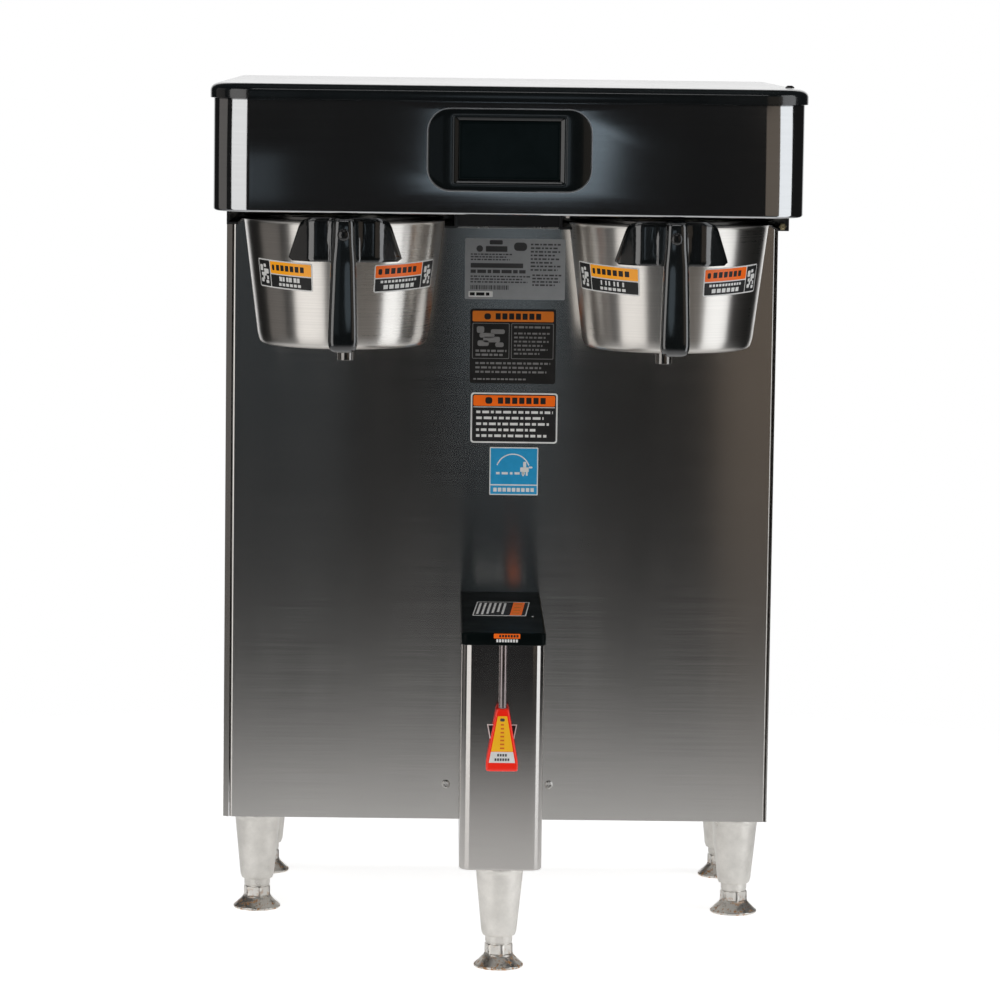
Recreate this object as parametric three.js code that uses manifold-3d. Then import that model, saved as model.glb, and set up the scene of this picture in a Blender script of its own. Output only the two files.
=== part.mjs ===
// Twin-station commercial coffee brewer: a brushed-steel cabinet with an overhanging hood,
// a touchscreen, two slide-out brew funnels, a centre column with a hot-water lever, and five
// levelling legs. Millimetres, +Z up, +X to the viewer's right, the front faces -Y.
import * as THREE from 'three';
import { mergeVertices } from 'three/addons/utils/BufferGeometryUtils.js';
import Module from 'manifold-3d';

const wasm = await Module();
wasm.setup();

// ---------------------------------------------------------------- driving dimensions
// Depths are written from the hood's front plane (0) towards the rear (+).
const DEPTH_MID = 276;        // middle of the overall depth; the model is shifted by it at the end

const HOOD_W = 597;           // hood width
const HOOD_D = 575;           // hood front plane to cabinet back
const HOOD_R = 42;            // hood front corner radius
const HOOD_Z0 = 773;          // underside of the hood
const HOOD_Z1 = 888;          // top edge of the hood's steel
const SHEET = 2;              // steel sheet thickness

const LID_W = 604;            // plastic lid width
const LID_OVER = 3.5;         // lid overhang past the hood
const LID_TOP = 902;
const COLLAR_Z = 766;         // top of the bowl's collar, above the rim that slides in the rails
const GUARD_FLAT = 28.5;      // half width of the splash guard's flat middle
const GUARD_BEND_R = 15;
const GUARD_BEND = (45 * Math.PI) / 180;

const CAB_W = 588;            // cabinet width
const CAB_Y0 = 275;           // cabinet front plane
const CAB_Z0 = 108;           // cabinet underside
const FRONT_TOP = 774.9;      // top edge of the front panel, under the hood floor

const COL_W = 84;             // centre column width
const COL_Y0 = -13;           // column face
const COL_R = 13;             // column front corner radius
const CAP_Y0 = -41;           // cap front
const CAP_Z0 = 343.1;
const CAP_Z1 = 355.8;

const BEZEL_W = 164, BEZEL_H = 82, BEZEL_R = 23, BEZEL_Z = 838;
const GLASS_W = 102, GLASS_H = 59;

const FUN_X = 168.5;          // funnel axis to the centre plane
const FUN_Y = 150;            // funnel axis behind the hood front
const BOWL_Z0 = 632;          // bowl underside
const RIM_Z = 761;            // underside of the bowl's sliding rim
const RIM_R = 110;
const BOWL_TOP_R = 103.4;
const BOWL_LOW_R = 88.4;

const LEVER_Y = -26.5;        // lever and its pivot, in front of the column face
const PIVOT_Z = 346.8;
const PADDLE_Z0 = 213, PADDLE_Z1 = 277;

const LEG_TOP_R = 25, LEG_LOW_R = 18, LEG_Z0 = 33;
const FOOT_SHAFT_R = 14, FOOT_DISC_R = 25.5;
const LEGS = {
  front_left: [-259, 321], front_right: [259, 321],
  rear_left: [-259, 529], rear_right: [259, 529],
  column: [0, 32],
};

// ---------------------------------------------------------------- solid helpers
function clean(geometry) {
  let g = geometry.clone();
  for (const name of Object.keys(g.attributes)) if (name !== 'position') g.deleteAttribute(name);
  g.morphAttributes = {};
  g.clearGroups();
  g = mergeVertices(g, 1e-4);
  const pos = g.attributes.position, idx = g.index.array, keep = [];
  const a = new THREE.Vector3(), b = new THREE.Vector3(), c = new THREE.Vector3();
  let vol = 0;
  for (let i = 0; i < idx.length; i += 3) {
    const [p, q, r] = [idx[i], idx[i + 1], idx[i + 2]];
    if (p === q || q === r || r === p) continue;
    a.fromBufferAttribute(pos, p); b.fromBufferAttribute(pos, q); c.fromBufferAttribute(pos, r);
    vol += a.dot(b.clone().cross(c));
    keep.push(p, q, r);
  }
  if (vol < 0) for (let i = 0; i < keep.length; i += 3) [keep[i + 1], keep[i + 2]] = [keep[i + 2], keep[i + 1]];
  const out = new THREE.BufferGeometry();
  out.setAttribute('position', pos.clone());
  out.setIndex(keep);
  return out;
}

function toManifold(geometry) {
  const g = clean(geometry);
  return new wasm.Manifold(new wasm.Mesh({
    numProp: 3,
    vertProperties: new Float32Array(g.attributes.position.array),
    triVerts: new Uint32Array(g.index.array),
  }));
}

function fromManifold(m) {
  const mesh = m.getMesh();
  const g = new THREE.BufferGeometry();
  const n = mesh.numProp, v = mesh.vertProperties, p = new Float32Array(v.length / n * 3);
  for (let i = 0, j = 0; i < v.length; i += n, j += 3) { p[j] = v[i]; p[j + 1] = v[i + 1]; p[j + 2] = v[i + 2]; }
  g.setAttribute('position', new THREE.BufferAttribute(p, 3));
  g.setIndex(Array.from(mesh.triVerts));
  return g;
}

const cut = (a, ...bs) => fromManifold(bs.reduce((m, b) => m.subtract(toManifold(b)), toManifold(a)));
const join = (a, ...bs) => fromManifold(bs.reduce((m, b) => m.add(toManifold(b)), toManifold(a)));
const common = (a, b) => fromManifold(toManifold(a).intersect(toManifold(b)));

function box(x0, x1, y0, y1, z0, z1) {
  const g = new THREE.BoxGeometry(x1 - x0, y1 - y0, z1 - z0);
  g.translate((x0 + x1) / 2, (y0 + y1) / 2, (z0 + z1) / 2);
  return g;
}

// outline in plan (x, y), raised from z0 to z1
function plan(shape, z0, z1, bevel = 0, segs = 5, rise = bevel) {
  const g = new THREE.ExtrudeGeometry(shape, {
    depth: z1 - z0 - 2 * rise, bevelEnabled: bevel > 0, bevelSize: bevel, bevelThickness: rise,
    bevelOffset: -bevel, bevelSegments: 3, curveSegments: segs,
  });
  g.translate(0, 0, z0 + rise);
  return g;
}

// outline in front view (x, z), running from y0 back to y1
function front(shape, y0, y1, segs = 6) {
  const g = new THREE.ExtrudeGeometry(shape, { depth: y1 - y0, bevelEnabled: false, curveSegments: segs });
  g.rotateX(Math.PI / 2);
  g.translate(0, y1, 0);
  return g;
}

// outline in side view (y, z), running from x0 to x1
function side(shape, x0, x1, segs = 6) {
  const g = new THREE.ExtrudeGeometry(shape, { depth: x1 - x0, bevelEnabled: false, curveSegments: segs });
  g.rotateY(Math.PI / 2);
  g.rotateX(Math.PI / 2);
  g.translate(x0, 0, 0);
  return g;
}

function poly(points) {
  const s = new THREE.Shape();
  points.forEach(([x, y], i) => (i ? s.lineTo(x, y) : s.moveTo(x, y)));
  s.closePath();
  return s;
}

// rectangle with its own radius at each corner: low-left, low-right, high-right, high-left
function rounded(x0, x1, y0, y1, [r0, r1, r2, r3]) {
  const s = new THREE.Shape();
  s.moveTo(x0 + r0, y0);
  s.lineTo(x1 - r1, y0);
  if (r1) s.absarc(x1 - r1, y0 + r1, r1, -Math.PI / 2, 0, false);
  s.lineTo(x1, y1 - r2);
  if (r2) s.absarc(x1 - r2, y1 - r2, r2, 0, Math.PI / 2, false);
  s.lineTo(x0 + r3, y1);
  if (r3) s.absarc(x0 + r3, y1 - r3, r3, Math.PI / 2, Math.PI, false);
  s.lineTo(x0, y0 + r0);
  if (r0) s.absarc(x0 + r0, y0 + r0, r0, Math.PI, Math.PI * 1.5, false);
  s.closePath();
  return s;
}

// profile of (radius, height) points, turned about a vertical axis at (x, y)
function turned(points, x, y, segs = 24) {
  const loop = points.map(([r, z]) => new THREE.Vector2(r, z));
  if (points[0][0] > 0 || points[points.length - 1][0] > 0) loop.push(loop[0].clone());
  const g = new THREE.LatheGeometry(loop, segs);
  g.rotateX(Math.PI / 2);
  g.translate(x, y, 0);
  return g;
}

// profile of (radius, depth) points, turned about a front-to-back axis at (x, z)
function turnedY(points, x, z, segs = 20) {
  const loop = points.map(([r, d]) => new THREE.Vector2(r, d));
  if (points[0][0] > 0 || points[points.length - 1][0] > 0) loop.push(loop[0].clone());
  const g = new THREE.LatheGeometry(loop, segs);
  g.translate(x, 0, z);
  return g;
}

// plain round bar along X
function barX(r, x0, x1, y, z, segs = 16) {
  const g = new THREE.CylinderGeometry(r, r, x1 - x0, segs);
  g.rotateZ(Math.PI / 2);
  g.translate((x0 + x1) / 2, y, z);
  return g;
}

// round rod bent along a path of [x, y, z] points
function rod(r, points, segs = 40, sides = 12) {
  const circle = new THREE.Shape();
  for (let i = 0; i < sides; i++) {
    const t = 2 * Math.PI * i / sides;
    i ? circle.lineTo(r * Math.cos(t), r * Math.sin(t)) : circle.moveTo(r, 0);
  }
  circle.closePath();
  const path = new THREE.CatmullRomCurve3(points.map((p) => new THREE.Vector3(...p)), false, 'centripetal');
  return new THREE.ExtrudeGeometry(circle, { steps: segs, bevelEnabled: false, extrudePath: path });
}

// ---------------------------------------------------------------- scene
const brewer = new THREE.Group();
const body = new THREE.Group();
body.position.set(0, -DEPTH_MID, 0);
brewer.add(body);

const LOOK = {
  steel: { color: 0x8f8c88, roughness: 0.32, metalness: 1.0 },
  bright: { color: 0xb9b6b0, roughness: 0.25, metalness: 1.0 },
  chrome: { color: 0xd2d2d2, roughness: 0.08, metalness: 1.0 },
  cast: { color: 0xb6aea2, roughness: 0.38, metalness: 0.9 },
  black: { color: 0x0d1112, roughness: 0.3, metalness: 0.0 },
  gloss: { color: 0x050708, roughness: 0.06, metalness: 0.0 },
  red: { color: 0xd3170d, roughness: 0.35, metalness: 0.0 },
  brass: { color: 0xb08d4a, roughness: 0.35, metalness: 1.0 },
  board: { color: 0x1d5a38, roughness: 0.55, metalness: 0.0 },
};

function add(name, geometry, look, parent = body) {
  const g = clean(geometry).toNonIndexed();
  g.computeVertexNormals();
  const mesh = new THREE.Mesh(g, new THREE.MeshStandardMaterial(LOOK[look]));
  mesh.name = name;
  parent.add(mesh);
  return mesh;
}

const hw = HOOD_W / 2, cw = CAB_W / 2, lw = LID_W / 2;

// ---------------------------------------------------------------- cabinet
add('base_pan', box(-287.3, 287.3, 277.4, 572.7, CAB_Z0, CAB_Z0 + 2.5), 'steel');

// side panels: folded at the front edge into a narrow return beside the front panels
for (const [name, s] of [['left_side_panel', -1], ['right_side_panel', 1]]) {
  const p = [[cw, 276.5], [cw - 3.8, 276.5], [cw - 3.8, 278.5], [cw - SHEET, 278.5], [cw - SHEET, HOOD_D], [cw, HOOD_D]];
  add(name, plan(poly(p.map(([x, y]) => [s * x, y])), CAB_Z0, 880), 'steel');
}

// back panel with the water inlet hole and the supply cord hole
const INLET = [-205, 178], GLAND = [205, 178];
add('back_panel', cut(
  box(-(cw - 2.3), cw - 2.3, HOOD_D - SHEET, HOOD_D, CAB_Z0, 884),
  turnedY([[0, 560], [8.8, 560], [8.8, 600], [0, 600]], ...INLET),
  turnedY([[0, 560], [9.8, 560], [9.8, 600], [0, 600]], ...GLAND),
), 'steel');

// front panel: one sheet with folded sides
const screwHole = (x, z) => turnedY([[0, 270], [2.4, 270], [2.4, 284], [0, 284]], x, z, 12);
const SCREW = [[-56, 146], [55.5, 146.5]];
add('front_panel', cut(
  box(-289.7, 289.7, CAB_Y0, 290, CAB_Z0, FRONT_TOP),
  box(-287.7, 287.7, CAB_Y0 + SHEET, 300, CAB_Z0 - 5, FRONT_TOP - SHEET),
  ...SCREW.map(([x, z]) => screwHole(x, z)),
), 'steel');

SCREW.forEach(([x, z], i) => add(i ? 'panel_screw_right' : 'panel_screw_left', turnedY([
  [0, 272.3], [2.6, 272.5], [4.2, 273.4], [4.6, 274.7], [2, 274.7], [2, 282.5], [0, 282.5]], x, z, 16), 'bright'));

// ---------------------------------------------------------------- hood
// a wrap around the front and both sides, open at the back, where the back panel closes it
const hoodOuter = rounded(-hw, hw, 0, HOOD_D, [HOOD_R, HOOD_R, 3, 3]);
const hoodInner = rounded(-hw + SHEET, hw - SHEET, SHEET, HOOD_D + 20, [HOOD_R - SHEET, HOOD_R - SHEET, 0, 0]);
const lipHole = rounded(-hw + 12, hw - 12, 12, CAB_Y0 + 1, [20, 20, 0, 0]);
add('hood_shell', cut(
  plan(hoodOuter, HOOD_Z0, HOOD_Z1),
  plan(hoodInner, HOOD_Z0 + SHEET, HOOD_Z1 + 5),
  plan(lipHole, HOOD_Z0 - 5, HOOD_Z0 + 5),
  box(-hw + SHEET, hw - SHEET, CAB_Y0 - 0.6, HOOD_D + 20, HOOD_Z0 - 5, HOOD_Z0 + 5),
  // window for the display's body
  box(-GLASS_W / 2 - 1.5, GLASS_W / 2 + 1.5, -5, 5, BEZEL_Z - GLASS_H / 2 - 1.5, BEZEL_Z + GLASS_H / 2 + 1.5),
), 'steel');

const stemHole = (s) => turned([[0, 770], [9, 770], [9, 785], [0, 785]], s * FUN_X, FUN_Y, 20);
add('hood_floor', cut(
  plan(rounded(-hw + 2.5, hw - 2.5, 2.5, CAB_Y0 + 0.8, [HOOD_R - 2.5, HOOD_R - 2.5, 0, 0]), HOOD_Z0 + 2.3, HOOD_Z0 + 4.3),
  stemHole(-1), stemHole(1),
), 'steel');

const lidOuter = rounded(-lw, lw, -LID_OVER, HOOD_D + LID_OVER, [HOOD_R + LID_OVER, HOOD_R + LID_OVER, 9, 9]);
const lidInner = rounded(-lw + 6, lw - 6, -LID_OVER + 6, HOOD_D + LID_OVER - 6, [HOOD_R - 3, HOOD_R - 3, 6, 6]);
const LID_SCREW = [287, 96];
// the lid's skirt hangs 2 mm down outside the hood
const lidSkirt = cut(
  plan(lidOuter, HOOD_Z1 - 1.6, HOOD_Z1 + 0.8),
  plan(rounded(-hw - 0.3, hw + 0.3, -0.3, HOOD_D + 0.3, [HOOD_R + 0.3, HOOD_R + 0.3, 0.6, 0.6]), HOOD_Z1 - 5, HOOD_Z1 + 0.3),
);
add('top_lid', cut(
  join(cut(plan(lidOuter, LID_TOP - 30, LID_TOP, 8, 4, 6), box(-400, 400, -100, 700, LID_TOP - 40, HOOD_Z1 + 0.3)), lidSkirt),
  plan(lidInner, HOOD_Z1 - 5, LID_TOP - 3, 0, 4),
  turned([[0, 890], [2.3, 890], [2.3, 910], [0, 910]], ...LID_SCREW, 12),
), 'black');
add('lid_screw', turned([
  [0, 893], [2, 893], [2, 902.3], [4.8, 902.3], [4.4, 904.2], [0, 905]], ...LID_SCREW, 16), 'black');

// ---------------------------------------------------------------- display
const bz0 = BEZEL_Z - BEZEL_H / 2, bz1 = BEZEL_Z + BEZEL_H / 2;
add('display_bezel', cut(
  front(rounded(-BEZEL_W / 2, BEZEL_W / 2, bz0, bz1, [BEZEL_R, BEZEL_R, BEZEL_R, BEZEL_R]), -3.8, -0.3),
  box(-GLASS_W / 2 - 0.3, GLASS_W / 2 + 0.3, -8, 5, BEZEL_Z - GLASS_H / 2 - 0.3, BEZEL_Z + GLASS_H / 2 + 0.3),
), 'gloss');
add('touchscreen', join(
  box(-GLASS_W / 2, GLASS_W / 2, -2.4, 3, BEZEL_Z - GLASS_H / 2, BEZEL_Z + GLASS_H / 2),
  box(-60, 60, 2.4, 14, BEZEL_Z - 37, BEZEL_Z + 37),
), 'gloss');

// ---------------------------------------------------------------- centre column
const colW = COL_W / 2, colBack = CAB_Y0 - 0.3;
add('column_shell', cut(
  plan(rounded(-colW, colW, COL_Y0, colBack, [COL_R, COL_R, 0, 0]), CAB_Z0, CAP_Z0 - 0.3),
  plan(rounded(-colW + SHEET, colW - SHEET, COL_Y0 + SHEET, colBack + 10, [COL_R - SHEET, COL_R - SHEET, 0, 0]), CAB_Z0 - 5, CAP_Z0 + 5),
), 'steel');
add('column_base_plate', plan(rounded(-colW + 2.4, colW - 2.4, COL_Y0 + 2.4, colBack - 0.3, [COL_R - 2.4, COL_R - 2.4, 0, 0]), CAB_Z0, CAB_Z0 + 2.5), 'steel');
add('column_cap', cut(
  plan(rounded(-colW - 0.7, colW + 0.7, CAP_Y0, colBack, [7, 7, 0, 0]), CAP_Z0, CAP_Z1),
  plan(rounded(-colW + 1.6, colW - 1.6, CAP_Y0 + 2.2, colBack - 2.2, [5, 5, 0, 0]), CAP_Z0 - 5, CAP_Z1 - 2.5),
), 'black');

// hot-water outlet, hidden behind the cap's front lip
add('hot_water_nozzle', turned([[2, 345], [3.5, 345], [3.5, 353], [2, 353]], 0, CAP_Y0 + 6, 14), 'black');

// lever bracket, pin, arm and paddle
add('lever_bracket', cut(
  box(-8.5, 8.5, LEVER_Y - 4, LEVER_Y + 6, PIVOT_Z - 3, 353),
  box(-6, 6, LEVER_Y - 9, LEVER_Y + 9, PIVOT_Z - 9, 351.2),
  barX(2.4, -12, 12, LEVER_Y, PIVOT_Z),
), 'bright');
add('lever_pin', barX(2, -10, 10, LEVER_Y, PIVOT_Z), 'chrome');
add('lever_arm', cut(
  turned([[0, 262], [2.5, 262], [2.5, PADDLE_Z1 + 0.3], [4, PADDLE_Z1 + 0.3], [4, 349.5], [3, 350.5], [0, 350.5]], 0, LEVER_Y, 14),
  barX(2.1, -12, 12, LEVER_Y, PIVOT_Z),
), 'chrome');
const paddle = poly([[-16, PADDLE_Z0], [16, PADDLE_Z0], [16.4, PADDLE_Z0 + 8], [6.8, PADDLE_Z1 - 3], [6, PADDLE_Z1], [-6, PADDLE_Z1], [-6.8, PADDLE_Z1 - 3], [-16.4, PADDLE_Z0 + 8]]);
add('lever_paddle', cut(
  front(paddle, LEVER_Y - 4.5, LEVER_Y + 4.5),
  turned([[0, 261.5], [2.8, 261.5], [2.8, 290], [0, 290]], 0, LEVER_Y, 14),
), 'red');

// solenoid valve that feeds the outlet
add('hot_water_valve', join(
  box(-16, 16, 30, 74, 250, 282),
  turned([[0, 281], [13, 281], [13, 318], [0, 318]], 0, 52, 20),
  barX(5, -30, 30, 52, 262, 12),
), 'brass');

// ---------------------------------------------------------------- legs and levelling feet
for (const [name, [x, y]] of Object.entries(LEGS)) {
  add(`leg_${name}`, turned([
    [FOOT_SHAFT_R + 0.3, LEG_Z0], [LEG_LOW_R - 1.5, LEG_Z0], [LEG_LOW_R, LEG_Z0 + 2.5],
    [LEG_TOP_R, CAB_Z0 - 7], [LEG_TOP_R, CAB_Z0 - 0.3], [0, CAB_Z0 - 0.3], [0, 84], [FOOT_SHAFT_R + 0.3, 84],
  ], x, y, 20), 'cast');
  add(`foot_${name}`, turned([
    [0, 0], [22, 0], [FOOT_DISC_R, 1.2], [FOOT_DISC_R, 3], [18.5, 8], [15.2, 13], [FOOT_SHAFT_R, 15], [FOOT_SHAFT_R, 72], [0, 72],
  ], x, y, 20), 'cast');
}

// ---------------------------------------------------------------- funnels, guards, grips, baskets
for (const [tag, s] of [['left', -1], ['right', 1]]) {
  const fx = s * FUN_X;
  add(`funnel_bowl_${tag}`, turned([
    [6, 614], [8.5, 614], [8.5, BOWL_Z0], [79.5, BOWL_Z0], [86, BOWL_Z0 + 2.6], [BOWL_LOW_R, BOWL_Z0 + 9],
    [BOWL_TOP_R, RIM_Z], [RIM_R, RIM_Z], [RIM_R, RIM_Z + 2], [BOWL_TOP_R, RIM_Z + 2], [BOWL_TOP_R, COLLAR_Z], [BOWL_TOP_R - 1.8, COLLAR_Z], [BOWL_TOP_R - 1.8, RIM_Z],
    [BOWL_LOW_R - 1.7, BOWL_Z0 + 10], [84.6, BOWL_Z0 + 4.2], [79, BOWL_Z0 + 1.8], [6, BOWL_Z0 + 1.8],
  ], fx, FUN_Y, 28), 'bright');
  add(`brew_basket_${tag}`, turned([
    [22, 634.4], [73, 634.4], [97, 755], [99, 755], [99, 757], [95.4, 757], [71.6, 636.2], [22, 636.2],
  ], fx, FUN_Y, 20), 'bright');

  // splash guard in front of the bowl, wider at its lower edge: flat in the middle, with wings bent back at 45 degrees
  const half = [];
  for (let i = 0; i <= 4; i++) {
    const a = (GUARD_BEND * i) / 4;
    half.push([GUARD_FLAT + GUARD_BEND_R * Math.sin(a), 35 + GUARD_BEND_R * (1 - Math.cos(a))]);
  }
  const [ex, ey] = half[half.length - 1];
  half.push([64, ey + (64 - ex) * Math.tan(GUARD_BEND)]);
  const faceLine = [...half.map(([x, y]) => [-x, y]).reverse(), ...half];
  const backLine = faceLine.map(([x, y]) => {
    const a = Math.abs(x) <= GUARD_FLAT ? 0 : Math.min(GUARD_BEND, Math.asin(Math.min(1, (Math.abs(x) - GUARD_FLAT) / GUARD_BEND_R)));
    return [x, y + 3.6 / Math.cos(a)];
  });
  const bent = poly([...faceLine, ...backLine.reverse()].map(([x, y]) => [fx + x, y]));
  const trapezoid = poly([[fx - 57.5, 724], [fx - 55, 722], [fx + 55, 722], [fx + 57.5, 724], [fx + 45, 763], [fx + 40, 767], [fx - 40, 767], [fx - 45, 763]]);
  add(`splash_guard_${tag}`, join(
    cut(common(plan(bent, 715, 775), front(trapezoid, 20, 90)), turned([[0, 757], [RIM_R + 0.4, 757], [RIM_R + 0.4, 775], [0, 775]], fx, FUN_Y, 28)),
    box(fx - 12, fx + 12, 37, 46, 728, 757),
  ), 'black');

  // grip: a bar that hangs in front of the bowl from a web at its top
  const silhouette = poly([
    [fx - 10.2, 766], [fx - 10.8, 745], [fx - 12.6, 722], [fx - 14.6, 645], [fx - 12.8, 637.5], [fx - 7.5, 634], [fx + 7.5, 634],
    [fx + 12.8, 637.5], [fx + 14.6, 645], [fx + 12.6, 722], [fx + 10.8, 745], [fx + 10.2, 766], [fx + 8, 768], [fx - 8, 768]]);
  const profile = poly([[9, 768], [6, 762], [6, 742], [4.5, 722], [3, 645], [5, 637], [9, 634], [14, 634], [17.5, 638], [18.5, 645], [19, 716], [23, 727], [34.4, 732], [34.4, 766], [32, 768]]);
  add(`funnel_grip_${tag}`, common(front(silhouette, 0, 40), side(profile, fx - 20, fx + 20)), 'black');
  add(`grip_screw_${tag}`, turnedY([[0, 2.4], [3.5, 2.8], [6, 4.2], [6.5, 5.7], [0, 5.7]], fx, 751, 18), 'black');

  // rails under the hood: the bowl's rim slides in them
  const outer = [[285, 758.6], [285, 775], [272, 775], [272, 773], [282.6, 773], [282.6, 760.7], [273, 760.7], [273, 758.6]];
  const inner = [[52, 758.6], [64.3, 758.6], [64.3, 760.7], [54.4, 760.7], [54.4, 773], [65, 773], [65, 775], [52, 775]];
  add(`rail_outer_${tag}`, front(poly(outer.map(([x, z]) => [s * x, z])), 45, 268), 'black');
  add(`rail_inner_${tag}`, front(poly(inner.map(([x, z]) => [s * x, z])), 18, 268), 'black');

  // spray head over the bowl and the valve that feeds it
  add(`spray_head_${tag}`, turned([[0, 767], [24, 767], [28, 769], [28, 772], [20, 774.6], [8, 774.6], [8, 796], [0, 796]], fx, FUN_Y, 18), 'black');
  add(`brew_valve_${tag}`, join(
    box(fx - 17, fx + 17, FUN_Y - 15, FUN_Y + 15, 796.3, 822),
    turned([[0, 821], [14, 821], [14, 858], [0, 858]], fx, FUN_Y, 20),
  ), 'brass');
}

// cross plate that ties the two inner rails together under the hood
add('rail_bridge', front(poly([[-51.7, 759], [51.7, 759], [51.7, 774.8], [-51.7, 774.8]]), 20, 22), 'black');

// ---------------------------------------------------------------- water system and controls
add('tank_seal', cut(box(-152, 152, 320, 544, 690.3, 692.3), box(-146, 146, 326, 538, 685, 700)), 'black');
add('water_tank', cut(box(-150, 150, 322, 542, 330, 690), box(-148, 148, 324, 540, 332, 700)), 'bright');
add('tank_lid', cut(
  box(-154, 154, 318, 546, 692.6, 696.6),
  turned([[0, 680], [4, 680], [4, 710], [0, 710]], 90, 432, 14),
), 'bright');
add('heating_element', rod(4.5, [[-60, 432, 688], [-60, 432, 560], [-60, 432, 420], [-42, 432, 382], [0, 432, 368], [42, 432, 382], [60, 432, 420], [60, 432, 560], [60, 432, 688]], 20, 8), 'chrome');
add('temperature_probe', turned([[0, 560], [3.2, 560], [3.2, 696.9], [8, 696.9], [8, 708], [3.2, 708], [3.2, 724], [0, 724]], 90, 432, 14), 'bright');
add('inlet_valve', join(
  box(-225, -185, 512, 552, 158, 198),
  turned([[0, 197], [15, 197], [15, 236], [0, 236]], -205, 532, 20),
), 'brass');
add('water_inlet_fitting', turnedY([[4, 552.6], [8.2, 552.6], [8.2, 575.3], [11, 575.3], [11, 581], [8, 582], [8, 593], [4, 593]], ...INLET, 16), 'brass');
add('cord_gland', turnedY([[5, 562], [9.2, 562], [9.2, 575.3], [14, 575.3], [14, 579], [10, 588], [5, 588]], ...GLAND, 20), 'black');
add('control_board', join(
  box(200, 201.8, 330, 500, 420, 600),
  box(182, 200.2, 350, 382, 440, 490),
  box(190, 200.2, 410, 470, 520, 580),
), 'board');

export default brewer;
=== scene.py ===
import bpy, bmesh, math
from mathutils import Vector, Matrix


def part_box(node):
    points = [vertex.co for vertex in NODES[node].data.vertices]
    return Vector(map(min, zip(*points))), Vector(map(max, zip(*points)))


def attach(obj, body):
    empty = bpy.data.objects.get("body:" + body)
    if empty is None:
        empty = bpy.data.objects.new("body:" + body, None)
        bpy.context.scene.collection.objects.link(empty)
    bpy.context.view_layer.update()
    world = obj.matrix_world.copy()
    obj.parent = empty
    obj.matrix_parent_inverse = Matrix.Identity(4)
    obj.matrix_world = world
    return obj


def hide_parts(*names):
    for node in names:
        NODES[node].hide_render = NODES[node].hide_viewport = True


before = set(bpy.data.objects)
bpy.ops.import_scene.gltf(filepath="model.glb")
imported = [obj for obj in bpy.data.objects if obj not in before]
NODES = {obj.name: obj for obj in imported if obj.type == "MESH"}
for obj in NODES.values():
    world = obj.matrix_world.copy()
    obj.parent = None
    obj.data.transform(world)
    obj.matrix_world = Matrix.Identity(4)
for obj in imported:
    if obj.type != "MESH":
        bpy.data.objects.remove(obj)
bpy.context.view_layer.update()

# Design coordinates: millimetres, x from the middle, y back from the hood's front face, z up from the floor.
# The row frame is in metres with y zero at mid depth.
MID = 276.0


def P(x, y, z):
    return (x / 1000.0, (y - MID) / 1000.0, z / 1000.0)


def hbox(node):
    lo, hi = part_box(node)
    return (lo.x * 1000, hi.x * 1000, lo.y * 1000 + MID, hi.y * 1000 + MID, lo.z * 1000, hi.z * 1000)


# ------------------------------------------------------------------ materials
def new_mat(name):
    m = bpy.data.materials.new(name)
    m.use_nodes = True
    nt = m.node_tree
    nt.nodes.clear()
    out = nt.nodes.new("ShaderNodeOutputMaterial")
    b = nt.nodes.new("ShaderNodeBsdfPrincipled")
    nt.links.new(b.outputs[0], out.inputs[0])
    return m, nt, b


def coords(nt, scale=(1, 1, 1), loc=(0, 0, 0), rot=(0, 0, 0)):
    tc = nt.nodes.new("ShaderNodeTexCoord")
    mp = nt.nodes.new("ShaderNodeMapping")
    mp.inputs["Scale"].default_value = scale
    mp.inputs["Location"].default_value = loc
    mp.inputs["Rotation"].default_value = rot
    nt.links.new(tc.outputs["Object"], mp.inputs["Vector"])
    return mp.outputs[0]


def noise(nt, vec, scale=1.0, detail=3.0, rough=0.5, dist=0.0):
    n = nt.nodes.new("ShaderNodeTexNoise")
    n.inputs["Scale"].default_value = scale
    n.inputs["Detail"].default_value = detail
    n.inputs["Roughness"].default_value = rough
    n.inputs["Distortion"].default_value = dist
    nt.links.new(vec, n.inputs["Vector"])
    return n.outputs["Fac"]


def ramp(nt, fac, lo, hi, a=0.0, b=1.0):
    """Maps fac from lo..hi to a..b, clamped."""
    r = nt.nodes.new("ShaderNodeMapRange")
    r.inputs["From Min"].default_value = lo
    r.inputs["From Max"].default_value = hi
    r.inputs["To Min"].default_value = a
    r.inputs["To Max"].default_value = b
    nt.links.new(fac, r.inputs["Value"])
    return r.outputs[0]


def op(nt, kind, a, b=None):
    n = nt.nodes.new("ShaderNodeMath")
    n.operation = kind
    for i, v in enumerate((a, b)):
        if v is None:
            continue
        if isinstance(v, (int, float)):
            n.inputs[i].default_value = v
        else:
            nt.links.new(v, n.inputs[i])
    return n.outputs[0]


def mixc(nt, fac, a, b, kind="MIX"):
    n = nt.nodes.new("ShaderNodeMix")
    n.data_type = "RGBA"
    n.blend_type = kind
    for s, v in ((0, fac), (6, a), (7, b)):
        if isinstance(v, (int, float)):
            n.inputs[s].default_value = v
        elif isinstance(v, (tuple, list)):
            n.inputs[s].default_value = (*v[:3], 1.0)
        else:
            nt.links.new(v, n.inputs[s])
    return n.outputs[2]


def axis_of(nt, which):
    tc = nt.nodes.new("ShaderNodeTexCoord")
    s = nt.nodes.new("ShaderNodeSeparateXYZ")
    nt.links.new(tc.outputs["Object"], s.inputs[0])
    return s.outputs[which]


def bump(nt, b, height, strength, distance):
    n = nt.nodes.new("ShaderNodeBump")
    n.inputs["Strength"].default_value = strength
    n.inputs["Distance"].default_value = distance
    nt.links.new(height, n.inputs["Height"])
    nt.links.new(n.outputs[0], b.inputs["Normal"])


def scaled(c, k):
    return tuple(min(1.0, x * k) for x in c)


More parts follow.
